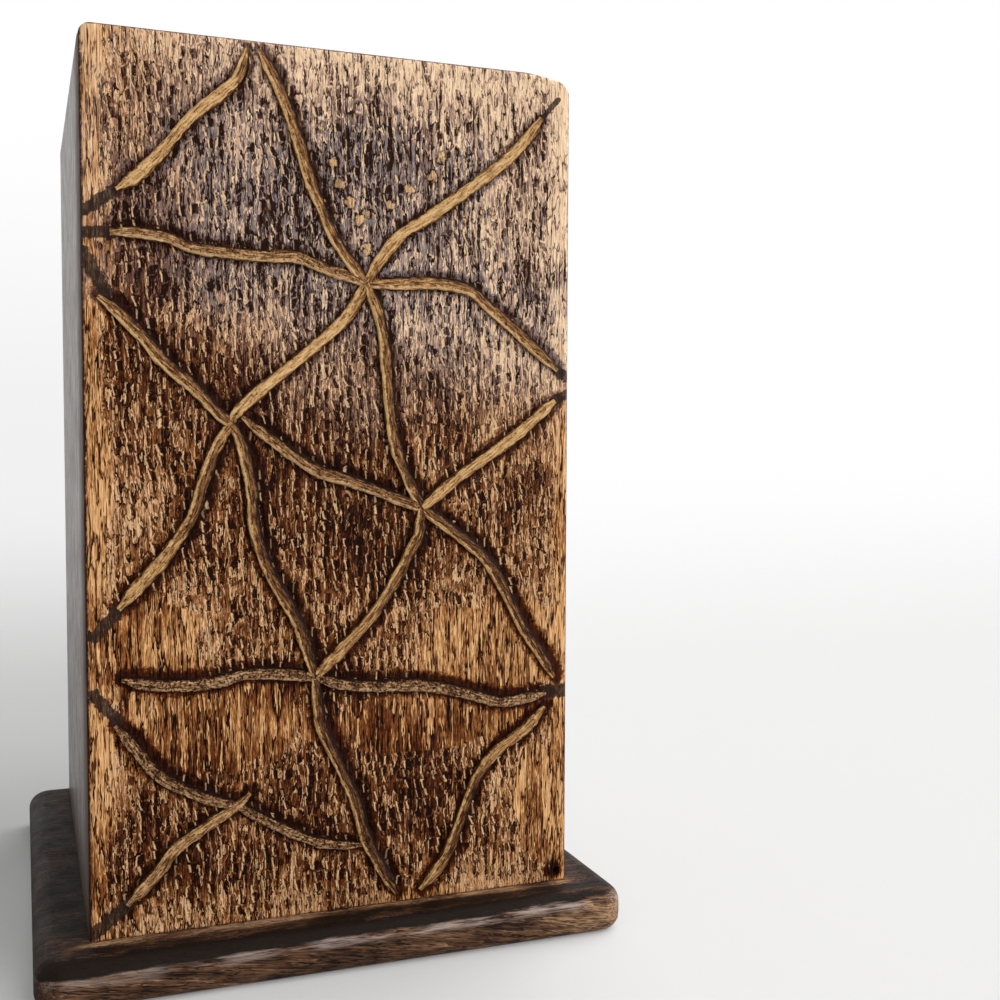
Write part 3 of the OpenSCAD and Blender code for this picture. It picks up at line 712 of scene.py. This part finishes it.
# each rib is a grid wrapped round its path: rows along it, columns across it
def addRib(bm, points, number, layers):
    path, along = smoothPath(points, ribs["step"])
    half, top = ribSize(points, along, along[-1], number)
    way = np.gradient(path, axis=0)
    way /= np.hypot(*way.T)[:, None]
    sideways = np.stack([-way[:, 1], way[:, 0]], 1)
    lit = sideways @ np.array([0.85, 0.53])  # 1 where the rib's left looks up and to the right
    count = ribs["across"]
    made = bmesh.ops.create_grid(bm, x_segments=len(path) - 1, y_segments=count, size=1.0)["verts"]
    place = np.array([v.co for v in made])
    i = np.rint((place[:, 0] + 1) / 2 * (len(path) - 1)).astype(int)
    turn = np.rint((place[:, 1] + 1) / 2 * count) / count * 2 * math.pi
    lumps = cloud(along[i], 3 * np.sin(turn) + number * 5.7, 1.7, 1, 71)
    nicks = cloud(along[i], 4 * np.cos(turn) + number * 3.3, 0.8, 1, 72)
    c, s = np.cos(turn), np.sin(turn)
    out = np.where(s > 0, top[i] * np.abs(s) ** 0.8, -ribs["root"] * np.abs(s))
    swell = 1 + 0.24 * lumps + 0.14 * nicks
    aside = half[i] * (np.sign(c) * np.abs(c) ** 0.85 * swell - 0.30 * lit[i] * np.clip(s, 0, 1))
    x = path[i, 0] + sideways[i, 0] * aside
    z = path[i, 1] + sideways[i, 1] * aside
    y = board["faceY"] + 0.2 - np.where(s > 0, out * swell, out)
    z = wornTop(x, z)
    leaning = np.clip(1.5 * lit[i], -1, 1)
    across = c * leaning - 0.12 * (1 - np.abs(leaning))
    for k, v in enumerate(made):
        v.co = ((x[k] - board["width"] / 2) * mm, y[k] * mm, (z[k] + board["footZ"]) * mm)
        v[layers["ribAcross"]] = across[k]
        v[layers["ribWide"]] = c[k] * half[i[k]]
        v[layers["ribEdge"]] = abs(c[k])
        v[layers["ribLean"]] = abs(leaning[k])
        v[layers["ribAlong"]] = along[i[k]] + number * 90
        v[layers["ribFleck"]] = ribs["flecked"].get(number, 0.0)


bm = bmesh.new()
ribLayers = {name: bm.verts.layers.float.new(name)
             for name in ("ribAcross", "ribWide", "ribAlong", "ribFleck", "ribEdge", "ribLean")}
for number, points in enumerate(ribs["lines"]):
    addRib(bm, points, number, ribLayers)
bmesh.ops.remove_doubles(bm, verts=bm.verts, dist=0.00001)
bmesh.ops.holes_fill(bm, edges=[e for e in bm.edges if e.is_boundary], sides=ribs["across"] + 2)
bmesh.ops.recalc_face_normals(bm, faces=bm.faces)
carvedRibs = finishMesh(bm, "carvedRibs")

carvedFinish = {
    # from bare wood to the deepest stain
    "ground": [(0.0, (0.80, 0.51, 0.285, 1)), (0.10, (0.53, 0.275, 0.122, 1)),
               (0.32, (0.262, 0.105, 0.034, 1)), (0.52, (0.128, 0.037, 0.0095, 1)),
               (0.72, (0.056, 0.0125, 0.0028, 1)), (1.0, (0.011, 0.0020, 0.0005, 1))],
    # the same over the upper part, paler and pinker with painted sheen and highlights
    "upper": [(0.0, (0.96, 0.71, 0.45, 1)), (0.12, (0.74, 0.49, 0.325, 1)), (0.28, (0.50, 0.325, 0.240, 1)),
              (0.44, (0.34, 0.217, 0.163, 1)), (0.58, (0.235, 0.140, 0.098, 1)),
              (0.72, (0.140, 0.067, 0.036, 1)), (0.86, (0.072, 0.027, 0.0125, 1)),
              (1.0, (0.018, 0.0055, 0.0025, 1))],
    "lip": (0.80, 0.52, 0.285, 1),
    "knob": (0.74, 0.43, 0.18, 1),
    "side": [(0.0, (0.135, 0.070, 0.038, 1)), (0.5, (0.060, 0.029, 0.017, 1)),
             (1.0, (0.016, 0.008, 0.005, 1))],
    "warmth": (1.0, 0.93, 0.78, 1),  # the untooled wood has kept more of its own colour
    "endPatch": (0.032, 0.017, 0.0125, 1),
    "paintedVioletSheen": (0.215, 0.182, 0.186, 1),  # painted violet-grey reflection on the flats of the upper half
    # how much each mark deepens the stain, what the tooling adds to that and what the painted sheen zone adds
    "marks": {"hollow": (0.34, 0, 0), "tone": (0.20, 0, -0.06), "foot": (0.46, 0, 0), "rim": (-0.30, 0, 0),
              "lines": (0.56, -0.34, 0.24), "pores": (0.16, 0, 0), "streak": (0.7, 0, 0),
              "crumbs": (0.85, 0, -0.30), "paintedSheenStreak": (0.0, 0, 0.5), "lip": (-0.45, 0, 0)},
    "contrast": (1.6, 0.50),  # bare, and what the painted sheen zone adds
    "middle": 0.465,
    "palest": 0.05,
    "hairs": 0.60,
    # gaps in millimetres over which each place runs out
    "haloEnds": (0.5, 2.3),
    "knobEnds": (0.9, 1.4),
    "knobFootEnds": (1.5, 2.1),
    "arrisEnds": (0.15, 0.75),
    "endPatchEnds": (1.3, 1.6),
    "haloDepth": 0.72,
    "arrisDepth": 0.93,
    "sideFrom": (-66.6, -65.6),
    # height of each mark in the relief, in millimetres
    "relief": {"hollow": -0.40, "lip": 0.22, "foot": -0.30, "rim": 0.10, "lines": -0.20, "crumbs": 0.20},
    "roughness": 0.46,
    "shine": 0.05,
}


def carvedWood():
    made, tree = newMaterial("carvedWood")
    place = millimetres(tree)
    axes = parted(tree, place)
    face = addNode(tree, "ShaderNodeCombineXYZ", {"X": axes[0], "Z": axes[2]}).outputs[0]
    grain = useGroup(tree, grainGroup, Vector=face, Spacing=9.0, Sway=20.0, PoreShare=0.6)
    scuffs = useGroup(tree, scuffGroup, Vector=place, Size=1.0)
    cuts = useGroup(tree, cutsGroup, Vector=face, Pitch=2.7, Rise=2.9)
    shortPeel = useGroup(tree, layerGroup, Vector=scaled(tree, face, (0.40, 1, 0.095)), Levels=7.0)
    longPlace = scaled(tree, face, (0.36, 1, 0.034), (0, 0, 0), (31, 0, 7))
    longPeel = useGroup(tree, layerGroup, Vector=longPlace, Levels=7.0)
    broadPlace = scaled(tree, face, (0.36, 1, 0.085), (0, 0, 0), (5, 0, 90))
    broadPeel = useGroup(tree, layerGroup, Vector=broadPlace, Levels=6.5, Roughness=0.55)
    ragged = minus(tree, noise(tree, face, 0.9, 4.0, 0.65), 0.5)
    crumbs = waver(tree, face, (2.2, 1, 0.50), 3.0, 0.7)
    paintedSheenStreak = waver(tree, face, (0.75, 1, 0.085), 3.0, 0.6)
    hairs = waver(tree, face, (3.0, 1, 0.20))

    tooled = attributeOf(tree, "tooled")
    tooledShare = stepped(tree, timesPlus(tree, ragged, 0.8, tooled), 0.35, 0.55)
    cutShare = stepped(tree, timesPlus(tree, ragged, 0.5, tooled), 0.35, 0.8)
    # where the upper part's painted sheen lies, streaked
    paintedSheenZone = stepped(tree, timesPlus(tree, paintedSheenStreak, 1.2, attributeOf(tree, "paintedSheenZone")), 0.1, 0.95)
    hollow = times(tree, times(tree, cuts["Hollow"], cutShare), timesPlus(tree, paintedSheenZone, -0.15, 1.0))
    marks = {"hollow": hollow, "lip": times(tree, cuts["Lip"], cutShare), "lines": grain["Lines"],
             "pores": grain["Pores"], "streak": minus(tree, 0.5, grain["Streak"]), "crumbs": crumbs,
             "paintedSheenStreak": paintedSheenStreak}
    for name in ("Tone", "Foot", "Rim"):
        peel = blendValue(tree, tooledShare, longPeel[name], shortPeel[name])
        marks[name.lower()] = blendValue(tree, times(tree, paintedSheenZone, 0.7), peel, broadPeel[name])
    marks["tone"] = minus(tree, marks["tone"], 0.5)

    depth = attributeOf(tree, "stainAndPaintedLightDepth")
    for name, (amount, byTooling, byWax) in carvedFinish["marks"].items():
        if byTooling:
            amount = timesPlus(tree, tooledShare, byTooling, amount)
        if byWax:
            amount = timesPlus(tree, paintedSheenZone, byWax, amount)
        depth = timesPlus(tree, marks[name], amount, depth)
    contrast, byWax = carvedFinish["contrast"]
    contrast = timesPlus(tree, paintedSheenZone, byWax, contrast)
    depth = timesPlus(tree, minus(tree, depth, 0.5), contrast, carvedFinish["middle"])
    depth = maths(tree, "MAXIMUM", depth, carvedFinish["palest"])
    depth = timesPlus(tree, hairs, carvedFinish["hairs"], depth)

    # darker beside the ribs: stain pooled at their foot and painted shade, most on their upper right, the
    # side away from the light
    haloGap = attributeOf(tree, "ribGap")
    for mark, amount in ((ragged, 5.0), (crumbs, 2.0), (attributeOf(tree, "ribSide"), -0.6), (paintedSheenZone, 0.4)):
        haloGap = timesPlus(tree, mark, amount, haloGap)
    halo = stepped(tree, haloGap, *carvedFinish["haloEnds"], 1, 0)
    depth = times(tree, depth, timesPlus(tree, halo, -0.6, 1.0))
    depth = timesPlus(tree, halo, carvedFinish["haloDepth"], depth)

    # small knobs are left standing over part of the upper half
    cells = addNode(tree, "ShaderNodeTexVoronoi", {"Vector": scaled(tree, face, (0.175, 0, 0.15)),
                                                   "Scale": 1.0, "Randomness": 0.9}, voronoi_dimensions="3D")
    knobReach = timesPlus(tree, cells.outputs["Distance"], 6.2, attributeOf(tree, "knobLess"))
    knobReach = timesPlus(tree, parted(tree, cells.outputs["Color"])[0], 0.8, knobReach)
    knobReach = maths(tree, "MINIMUM", knobReach, attributeOf(tree, "knobGap"))
    knobReach = timesPlus(tree, ragged, 3.2, knobReach)
    knob = stepped(tree, timesPlus(tree, crumbs, 1.4, knobReach), *carvedFinish["knobEnds"], 1, 0)
    depth = timesPlus(tree, knob, -0.90, depth)
    # a dark ring round each knob's foot: stain pooled there, partly painted shade
    depth = timesPlus(tree, stepped(tree, knobReach, *carvedFinish["knobFootEnds"], 1, 0), 0.50, depth)

    # the arris is stained nearly black
    aside = minus(tree, board["width"] / 2, maths(tree, "ABSOLUTE", axes[0]))
    below = minus(tree, board["footZ"] + board["height"], axes[2])
    rimGap = timesPlus(tree, ragged, 1.2, maths(tree, "MINIMUM", aside, below))
    arris = stepped(tree, rimGap, *carvedFinish["arrisEnds"], carvedFinish["arrisDepth"], 0)
    depth = maths(tree, "MAXIMUM", depth, arris, clamp=True)

    colour = ramp(tree, depth, carvedFinish["ground"])
    colour = blendColour(tree, minus(tree, 1.0, tooledShare), colour, carvedFinish["warmth"], "MULTIPLY")
    # painted sheen: the upper part takes a paler, pinker ramp
    colour = blendColour(tree, paintedSheenZone, colour, ramp(tree, depth, carvedFinish["upper"]))
    # the pale lip down the left of each cut: wood rubbed bare, with a painted highlight as if lit from the
    # left
    colour = blendColour(tree, times(tree, marks["lip"], 0.85), colour, carvedFinish["lip"])
    unchipped = stepped(tree, plus(tree, crumbs, ragged), -0.05, 0.20, 0.95, 0.25)
    colour = blendColour(tree, times(tree, knob, unchipped), colour, carvedFinish["knob"])
    # painted reflection: violet-grey on the flats of the upper part
    onFlat = times(tree, stepped(tree, depth, 0.33, 0.42), stepped(tree, depth, 0.74, 0.82, 1, 0))
    violet = timesPlus(tree, paintedSheenStreak, 2.4, attributeOf(tree, "paintedPinkHighlight"))
    violet = times(tree, stepped(tree, violet, 0.30, 0.80, 0.85, 0.1), paintedSheenZone)
    colour = blendColour(tree, times(tree, onFlat, violet), colour, carvedFinish["paintedVioletSheen"])
    ended = timesPlus(tree, ragged, 2.2, attributeOf(tree, "endGap"))
    ended = stepped(tree, ended, *carvedFinish["endPatchEnds"], 1, 0)
    ended = times(tree, ended, timesPlus(tree, crumbs, 0.8, 0.92), clamp=True)
    colour = blendColour(tree, ended, colour, carvedFinish["endPatch"])
    # behind the arris the board is stained like the sides
    sideStreak = noise(tree, scaled(tree, place, (0.55, 0.9, 0.05)), 1.0, 3.0, 0.6)
    sideColour = ramp(tree, stepped(tree, sideStreak, 0.36, 0.66), carvedFinish["side"])
    colour = blendColour(tree, stepped(tree, axes[1], *carvedFinish["sideFrom"]), colour, sideColour)

    level = 0.0
    for name, high in carvedFinish["relief"].items():
        level = timesPlus(tree, marks[name], high, level)
    rough = timesPlus(tree, scuffs["Scuffs"], 0.14, carvedFinish["roughness"])
    finishMaterial(tree, colour, rough, bump(tree, level, 0.9, 0.001),
                   **{"Specular IOR Level": carvedFinish["shine"]})
    return made


carvedBoard.data.materials.append(carvedWood())
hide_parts("carved_front")
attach(carvedBoard, "front")

ribFinish = {
    "colours": [(0.0, (0.70, 0.45, 0.215, 1)), (0.25, (0.50, 0.285, 0.112, 1)),
                (0.5, (0.215, 0.098, 0.033, 1)), (0.75, (0.070, 0.025, 0.008, 1)),
                (1.0, (0.010, 0.003, 0.0015, 1))],
    "fleckWax": (0.50, 0.335, 0.235, 1),
    "fibres": (1.8, 0.08),
    "shadedFlanks": (0.52, 0.26),  # painted shade: how much darker the side away from the light is, and the other side
    "edges": 0.60,
    "darkerLow": ((60, 170), (0.15, -0.05)),  # between these heights, by these depths
    "roughness": 0.5,
    "shine": 0.08,
}


def ribWood():
    made, tree = newMaterial("ribWood")
    place = millimetres(tree)
    axes = parted(tree, place)
    along = addNode(tree, "ShaderNodeCombineXYZ", {"X": attributeOf(tree, "ribWide"), "Y": axes[1],
                                                   "Z": attributeOf(tree, "ribAlong")}).outputs[0]
    fibres = noise(tree, scaled(tree, along, (2.8, 2.8, 0.32)), 1.0, 3.0, 0.6)
    flecks = noise(tree, scaled(tree, place, (2.0, 2.0, 1.6)), 1.0, 2.0, 0.6)
    spots = noise(tree, scaled(tree, place, (1.7, 1.7, 1.5)), 1.0, 3.0, 0.7)
    ragged = minus(tree, noise(tree, place, 0.8, 3.0, 0.6), 0.5)
    flecked = attributeOf(tree, "ribFleck")

    depth = timesPlus(tree, minus(tree, 0.5, fibres), *ribFinish["fibres"])
    across = timesPlus(tree, ragged, 0.9, attributeOf(tree, "ribAcross"))
    # painted shade: the rib's side away from the light is darker than its lit side
    darkSide, litSide = ribFinish["shadedFlanks"]
    flankShade = plus(tree, stepped(tree, across, -0.42, -0.12, 0, darkSide),
                 stepped(tree, across, 0.30, 0.90, 0, litSide))
    flankShade = times(tree, flankShade, stepped(tree, attributeOf(tree, "ribLean"), 0.25, 0.9, 0.30, 1.0))
    depth = plus(tree, depth, times(tree, flankShade, timesPlus(tree, flecked, -0.55, 1.0)))
    # the rib darkens towards its sides: stain at its foot, partly painted shade
    edge = timesPlus(tree, ragged, 0.5, attributeOf(tree, "ribEdge"))
    depth = plus(tree, depth, stepped(tree, edge, 0.62, 0.98, 0, ribFinish["edges"]))
    depth = plus(tree, depth, stepped(tree, flecks, 0.58, 0.68, 0, 0.35))
    depth = plus(tree, depth, times(tree, flecked, stepped(tree, spots, 0.50, 0.60, 0.0, 0.46)))
    (low, high), (lowDepth, highDepth) = ribFinish["darkerLow"]
    depth = plus(tree, depth, stepped(tree, axes[2], low, high, lowDepth, highDepth), clamp=True)
    colour = ramp(tree, depth, ribFinish["colours"])
    pinkish = times(tree, flecked, stepped(tree, depth, 0.15, 0.6, 0.45, 0))
    colour = blendColour(tree, pinkish, colour, ribFinish["fleckWax"])
    level = timesPlus(tree, fibres, 0.26, stepped(tree, flecks, 0.60, 0.70, 0, -0.12))
    level = plus(tree, level, times(tree, flecked, stepped(tree, spots, 0.46, 0.58, 0, -0.3)))
    finishMaterial(tree, colour, ribFinish["roughness"], bump(tree, level, 0.9, 0.001),
                   **{"Specular IOR Level": ribFinish["shine"]})
    return made


carvedRibs.data.materials.append(ribWood())
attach(carvedRibs, "front")
print("carved board finished")


# stained boards

stained = {
    "bare": (0.20, 0.105, 0.050, 1),
    "stain": (0.075, 0.041, 0.024, 1),
    "deep": (0.020, 0.0115, 0.008, 1),
    "worn": (0.23, 0.135, 0.070, 1),
    "spacing": 6.0,
    "poreShare": 0.5,
    "scuffSize": 1.0,
    "depth": 0.90,
    "marks": {"Streak": -0.72, "Figure": 0.16, "Pores": 0.35, "Scuffs": -0.10},
    "relief": (-0.6, 0.35, 0.0002),  # pores against the grain's streaks, strength, distance
    "roughness": 0.55,
    "shine": 0.2,
    "coatRoughness": 0.32,
    "coat": (0.30, 0.95),  # where it is thin and where it is whole
    "coatFrom": (-60.0, -36.0),  # it is rubbed off in front of this
    # node: name of its finish, which way its grain runs, place in the grain, width of the worn edge
    "boards": {
        "left_side": ("leftSideStain", "z", (37, 11, 0), 1.2),
        "right_side": ("rightSideStain", "z", (-52, 23, 40), 1.2),
        "back_board": ("backStain", "z", (9, -130, 15), 1.2),
        "top_board": ("topStain", "y", (14, -200, 8), 1.2),
        "drawer_front": ("drawerStain", "x", (12, -130, -20), 1.2),
        "catch_plate": ("catchStain", "x", (-3, 40, -60), 0.5),
    },
}
grainTurns = {"z": (0, 0, 0), "x": (0, 90, 0), "y": (90, 0, 0)}


def stainColour(tree, finish, depth):
    return useGroup(tree, stainGroup, Bare=finish["bare"], Stain=finish["stain"], Deep=finish["deep"],
                    Depth=depth)["Colour"]


# colour, roughness and relief of a board with its grain at a place
def boardFinish(tree, finish, place, grainPlace):
    grain = useGroup(tree, grainGroup, Vector=grainPlace, Spacing=finish["spacing"],
                     PoreShare=finish["poreShare"])
    scuffs = useGroup(tree, scuffGroup, Vector=place, Size=finish["scuffSize"])["Scuffs"]
    depth = finish["depth"]
    for name, amount in finish["marks"].items():
        depth = timesPlus(tree, scuffs if name == "Scuffs" else grain[name], amount, depth)
    pores, strength, distance = finish["relief"]
    height = timesPlus(tree, grain["Pores"], pores, grain["Streak"])
    rough = timesPlus(tree, scuffs, 0.12, finish["roughness"])
    return stainColour(tree, finish, depth), rough, bump(tree, height, strength, distance)


def stainedWood(node, name, grainAlong, shift, wear):
    made, tree = newMaterial(name)
    low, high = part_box(node)
    centre, half = (low + high) / 2 / mm, (high - low) / 2 / mm
    place = millimetres(tree)
    grainPlace = scaled(tree, place, (1, 1, 1), grainTurns[grainAlong], shift)
    colour, rough, relief = boardFinish(tree, stained, place, grainPlace)
    wearOut = useGroup(tree, wearGroup, Vector=place, Centre=tuple(centre), Half=tuple(half), Width=wear,
                       Unevenness=0.8)
    colour = blendColour(tree, times(tree, wearOut["Wear"], 0.35), colour, stained["worn"])
    # the coat is patchy along the grain
    patches = noise(tree, scaled(tree, grainPlace, (0.8, 0.5, 0.09)), 1.0, 4.0, 0.75)
    fromFront = stepped(tree, parted(tree, place)[1], *stained["coatFrom"])
    coat = times(tree, stepped(tree, patches, 0.40, 0.60, *stained["coat"]), fromFront)
    finishMaterial(tree, colour, rough, relief,
                   **{"Specular IOR Level": stained["shine"], "Coat Weight": coat,
                      "Coat Roughness": stained["coatRoughness"]})
    return made


def dress(node, material):
    mesh = nodes[node].data
    mesh.materials.clear()
    mesh.materials.append(material)


for node, about in stained["boards"].items():
    dress(node, stainedWood(node, *about))
print("stained boards finished")


# plinth

plinth = {
    "bare": (0.40, 0.245, 0.135, 1),
    "stain": (0.105, 0.050, 0.026, 1),
    "deep": (0.0085, 0.0042, 0.0024, 1),
    # colour of the painted sheen along the front's upper round
    "paintedSheenColour": (0.40, 0.315, 0.27, 1),
    "topDepth": 0.88,
    "frontDepth": 0.60,
    "strip": ((-72.5, -69.5), (-62.0, -67.5)),  # paler strip before the carved board
    "front": (-73.5, -77.5),
    "band": (9.0, 10.0),  # dark along the front's upper edge, from this height
    "sheenFrom": (6.4, 8.2),
    "sheenTo": (8.9, 9.8),
    "roughness": 0.5,
    "shine": 0.07,
    "coatRoughness": 0.30,
}


def plinthWood():
    made, tree = newMaterial("plinthWood")
    place = millimetres(tree)
    axes = parted(tree, place)
    leaning = scaled(tree, place, (1, 1, 1), (0, -9, 0))
    grainPlace = scaled(tree, leaning, (1, 1, 1), grainTurns["x"], (25, 60, 10))
    grain = useGroup(tree, grainGroup, Vector=grainPlace, Spacing=3.2, PoreShare=0.7)
    peel = useGroup(tree, layerGroup, Vector=scaled(tree, leaning, (0.045, 0.3, 0.42)), Levels=6.0)
    scuffs = useGroup(tree, scuffGroup, Vector=place, Size=1.4)
    ragged = waver(tree, place, (0.07, 0.25, 0.25), 4.0, 0.6)

    outward = timesPlus(tree, ragged, 5.0, axes[1])
    lift = timesPlus(tree, axes[0], -0.012, timesPlus(tree, ragged, 3.0, axes[2]))
    besideFace = stepped(tree, timesPlus(tree, ragged, 20.0, maths(tree, "ABSOLUTE", axes[0])), 60, 68, 1, 0)
    stripFront, stripBack = plinth["strip"]
    strip = times(tree, stepped(tree, outward, *stripFront), besideFace)
    strip = times(tree, strip, stepped(tree, axes[1], *stripBack))
    front = stepped(tree, axes[1], *plinth["front"])
    band = times(tree, stepped(tree, lift, *plinth["band"]), front)
    # the front is paler towards its right end
    paleRightEnd = stepped(tree, timesPlus(tree, ragged, 30.0, axes[0]), 52, 66)
    patches = noise(tree, scaled(tree, leaning, (0.05, 0.12, 0.16)), 1.0, 3.0, 0.6)
    patches = stepped(tree, patches, 0.36, 0.64, 0.16, -0.16)
    frontDepth = timesPlus(tree, band, 0.6, timesPlus(tree, paleRightEnd, -0.30, plinth["frontDepth"]))
    topDepth = timesPlus(tree, strip, -0.50, plinth["topDepth"])
    depth = plus(tree, blendValue(tree, front, topDepth, frontDepth), patches)
    for mark, amount in ((minus(tree, 0.5, grain["Streak"]), 1.1), (peel["Foot"], 0.22), (peel["Rim"], -0.12),
                         (grain["Lines"], 0.24)):
        depth = timesPlus(tree, mark, amount, depth)
    depth = timesPlus(tree, grain["Pores"], 0.22, depth, clamp=True)
    colour = stainColour(tree, plinth, depth)

    # a pale line of painted sheen along the front's upper round, streaked like rubbed wood, widest to the
    # right
    sheen = times(tree, stepped(tree, lift, *plinth["sheenFrom"]),
                  stepped(tree, lift, *plinth["sheenTo"], 1, 0))
    sheen = times(tree, times(tree, sheen, front), stepped(tree, axes[0], -70, 30, 0.45, 1.0))
    hairs = noise(tree, scaled(tree, place, (0.10, 1.8, 1.8)), 1.0, 3.0, 0.65)
    broad = noise(tree, scaled(tree, place, (0.055, 0.1, 0.1)), 1.0, 1.0)
    sheen = times(tree, sheen, stepped(tree, plus(tree, hairs, times(tree, broad, 0.9)), 0.84, 1.12))
    colour = blendColour(tree, times(tree, sheen, 0.85), colour, plinth["paintedSheenColour"])
    rough = plus(tree, plinth["roughness"], times(tree, scuffs["Scuffs"], 0.14))
    height = minus(tree, grain["Streak"], times(tree, grain["Pores"], 0.6))
    height = timesPlus(tree, peel["Foot"], -0.6, height)
    finishMaterial(tree, colour, rough, bump(tree, height, 0.6, 0.0003),
                   **{"Specular IOR Level": plinth["shine"], "Coat Weight": timesPlus(tree, sheen, 0.3, 0.03),
                      "Coat Roughness": plinth["coatRoughness"]})
    return made


dress("plinth", plinthWood())
print("plinth finished")


# bare boards inside

inside = {
    "bare": (0.56, 0.385, 0.215, 1),
    "stain": (0.40, 0.245, 0.120, 1),
    "deep": (0.22, 0.115, 0.050, 1),
    "spacing": 5.5,
    "poreShare": 0.3,
    "scuffSize": 0.8,
    "depth": 0.434,
    "marks": {"Streak": -0.7, "Figure": 0.32, "Pores": 0.45, "Scuffs": 0.06},
    "relief": (-0.5, 0.3, 0.00015),
    "roughness": 0.58,
    # node: name of its finish, which way its grain runs, place in the grain
    "boards": {
        "sill_board": ("sillBoardWood", "x", (4, 20, -30)),
        "compartment_floor": ("compartmentFloorWood", "x", (60, 35, 12)),
        "shelf": ("shelfWood", "x", (-115, 50, 22)),
        "slide_board": ("slideBoardWood", "z", (18, 70, 0)),
        "stop_blocks": ("stopBlocksWood", "z", (9, 61, 0)),
        "false_floor": ("falseFloorWood", "x", (-55, 15, 9)),
        "drawer_inner_end": ("drawerInnerEndWood", "x", (-20, 31, 5)),
        "drawer_left_side": ("drawerLeftSideWood", "y", (44, 10, 13)),
        "drawer_right_side": ("drawerRightSideWood", "y", (-46, 14, -9)),
        "drawer_bottom": ("drawerBottomWood", "x", (-12, 44, 17)),
        "catch_peg": ("catchPegWood", "z", (2, 20, 0)),
    },
}


def bareWood(name, grainAlong, shift):
    made, tree = newMaterial(name)
    place = millimetres(tree)
    grainPlace = scaled(tree, place, (1, 1, 1), grainTurns[grainAlong], shift)
    finishMaterial(tree, *boardFinish(tree, inside, place, grainPlace))
    return made


for node, about in inside["boards"].items():
    dress(node, bareWood(*about))
print("bare boards finished")


# steel

steel = {"colour": (0.42, 0.41, 0.39, 1), "tarnish": (0.17, 0.15, 0.13, 1), "roughness": 0.34}


def dullSteel():
    made, tree = newMaterial("dullSteel")
    place = millimetres(tree)
    scuffs = useGroup(tree, scuffGroup, Vector=place, Size=4.0)
    drawn = noise(tree, scaled(tree, place, (6, 0.5, 6)))
    tarnish = plus(tree, times(tree, scuffs["Scuffs"], 0.55), times(tree, drawn, 0.3))
    colour = blendColour(tree, tarnish, steel["colour"], steel["tarnish"])
    rough = plus(tree, steel["roughness"], times(tree, scuffs["Specks"], 0.25))
    finishMaterial(tree, colour, rough, bump(tree, drawn, 0.2, 0.00005), Metallic=1.0)
    return made


steelFinish = dullSteel()
for node in ("locking_pin", "plinth_screws", "drawer_brads"):
    dress(node, steelFinish)
print("steel finished")


# floor and backdrop

# 1 where a ray comes straight from the camera, or by way of a shiny or a clear surface
def seenDirectly(tree):
    rays = tree.nodes.new("ShaderNodeLightPath").outputs
    return maths(tree, "MAXIMUM", rays["Is Camera Ray"],
                 maths(tree, "MAXIMUM", rays["Is Glossy Ray"], rays["Is Transmission Ray"]))


def paperSweep():
    made, tree = newMaterial("paperSweep")
    place = parted(tree, tree.nodes.new("ShaderNodeTexCoord").outputs["Object"])
    away = maths(tree, "MAXIMUM", plus(tree, place[1], studio["paperNear"]), 0.05)
    nearness = maths(tree, "DIVIDE", 1.0, away)
    share = stepped(tree, nearness, *studio["paperFade"], *studio["paperShare"])
    share = times(tree, seenDirectly(tree), share)
    # painted shadow: the paper is a little dimmer low on the left, where the box's shadow falls, in its
    # colour and its glow
    leftward = stepped(tree, times(tree, place[0], nearness), 0.0, 0.3, 1, 0)
    lowDown = stepped(tree, times(tree, place[2], nearness), 0.0, 0.26, 1, 0)
    midway = times(tree, stepped(tree, nearness, 0.4, 1.5), stepped(tree, nearness, 2.0, 2.6, 1, 0))
    shadowedLevel = timesPlus(tree, midway, -0.20, timesPlus(tree, lowDown, -0.12, 1.0))
    paintedShadowLevel = plus(tree, times(tree, minus(tree, shadowedLevel, 1.0), leftward), 1.0)
    floorTone = blendColour(tree, paintedShadowLevel, (0, 0, 0, 1), studio["floorColour"])
    matte = addNode(tree, "ShaderNodeBsdfDiffuse", {"Color": floorTone})
    glow = addNode(tree, "ShaderNodeEmission", {"Color": (1, 1, 1, 1), "Strength": paintedShadowLevel})
    mixed = addNode(tree, "ShaderNodeMixShader", {0: share, 1: matte.outputs[0], 2: glow.outputs[0]})
    addNode(tree, "ShaderNodeOutputMaterial", {"Surface": mixed.outputs[0]})
    return made


bm = bmesh.new()
nearVert = bm.verts.new((-studio["halfWidth"], studio["nearEdge"], 0))
farVert = bm.verts.new((-studio["halfWidth"], studio["farEdge"], 0))
bm.edges.new((nearVert, farVert))
turnsRound = (-studio["halfWidth"], studio["farEdge"], studio["sweepRadius"])
bent = bmesh.ops.spin(bm, geom=[farVert], cent=turnsRound, axis=(1, 0, 0), angle=math.pi / 2, steps=24,
                      use_duplicate=False)
lastVert = [g for g in bent["geom_last"] if isinstance(g, bmesh.types.BMVert)]
for v in bmesh.ops.extrude_vert_indiv(bm, verts=lastVert)["verts"]:
    v.co.z = studio["height"]
across = bmesh.ops.extrude_edge_only(bm, edges=bm.edges[:])
bmesh.ops.translate(bm, verts=[g for g in across["geom"] if isinstance(g, bmesh.types.BMVert)],
                    vec=(2 * studio["halfWidth"], 0, 0))
bmesh.ops.recalc_face_normals(bm, faces=bm.faces)
floorSweep = finishMesh(bm, "floorSweep")
floorSweep.data.materials.append(paperSweep())

world = bpy.data.worlds.new("studioWorld")
world.use_nodes = True
tree = world.node_tree
backdrop = tree.nodes["Background"]
backdrop.inputs["Color"].default_value = (1, 1, 1, 1)
level = timesPlus(tree, seenDirectly(tree), 1.0 - studio["worldLevel"], studio["worldLevel"])
tree.links.new(level, backdrop.inputs["Strength"])
bpy.context.scene.world = world
print("studio finished")
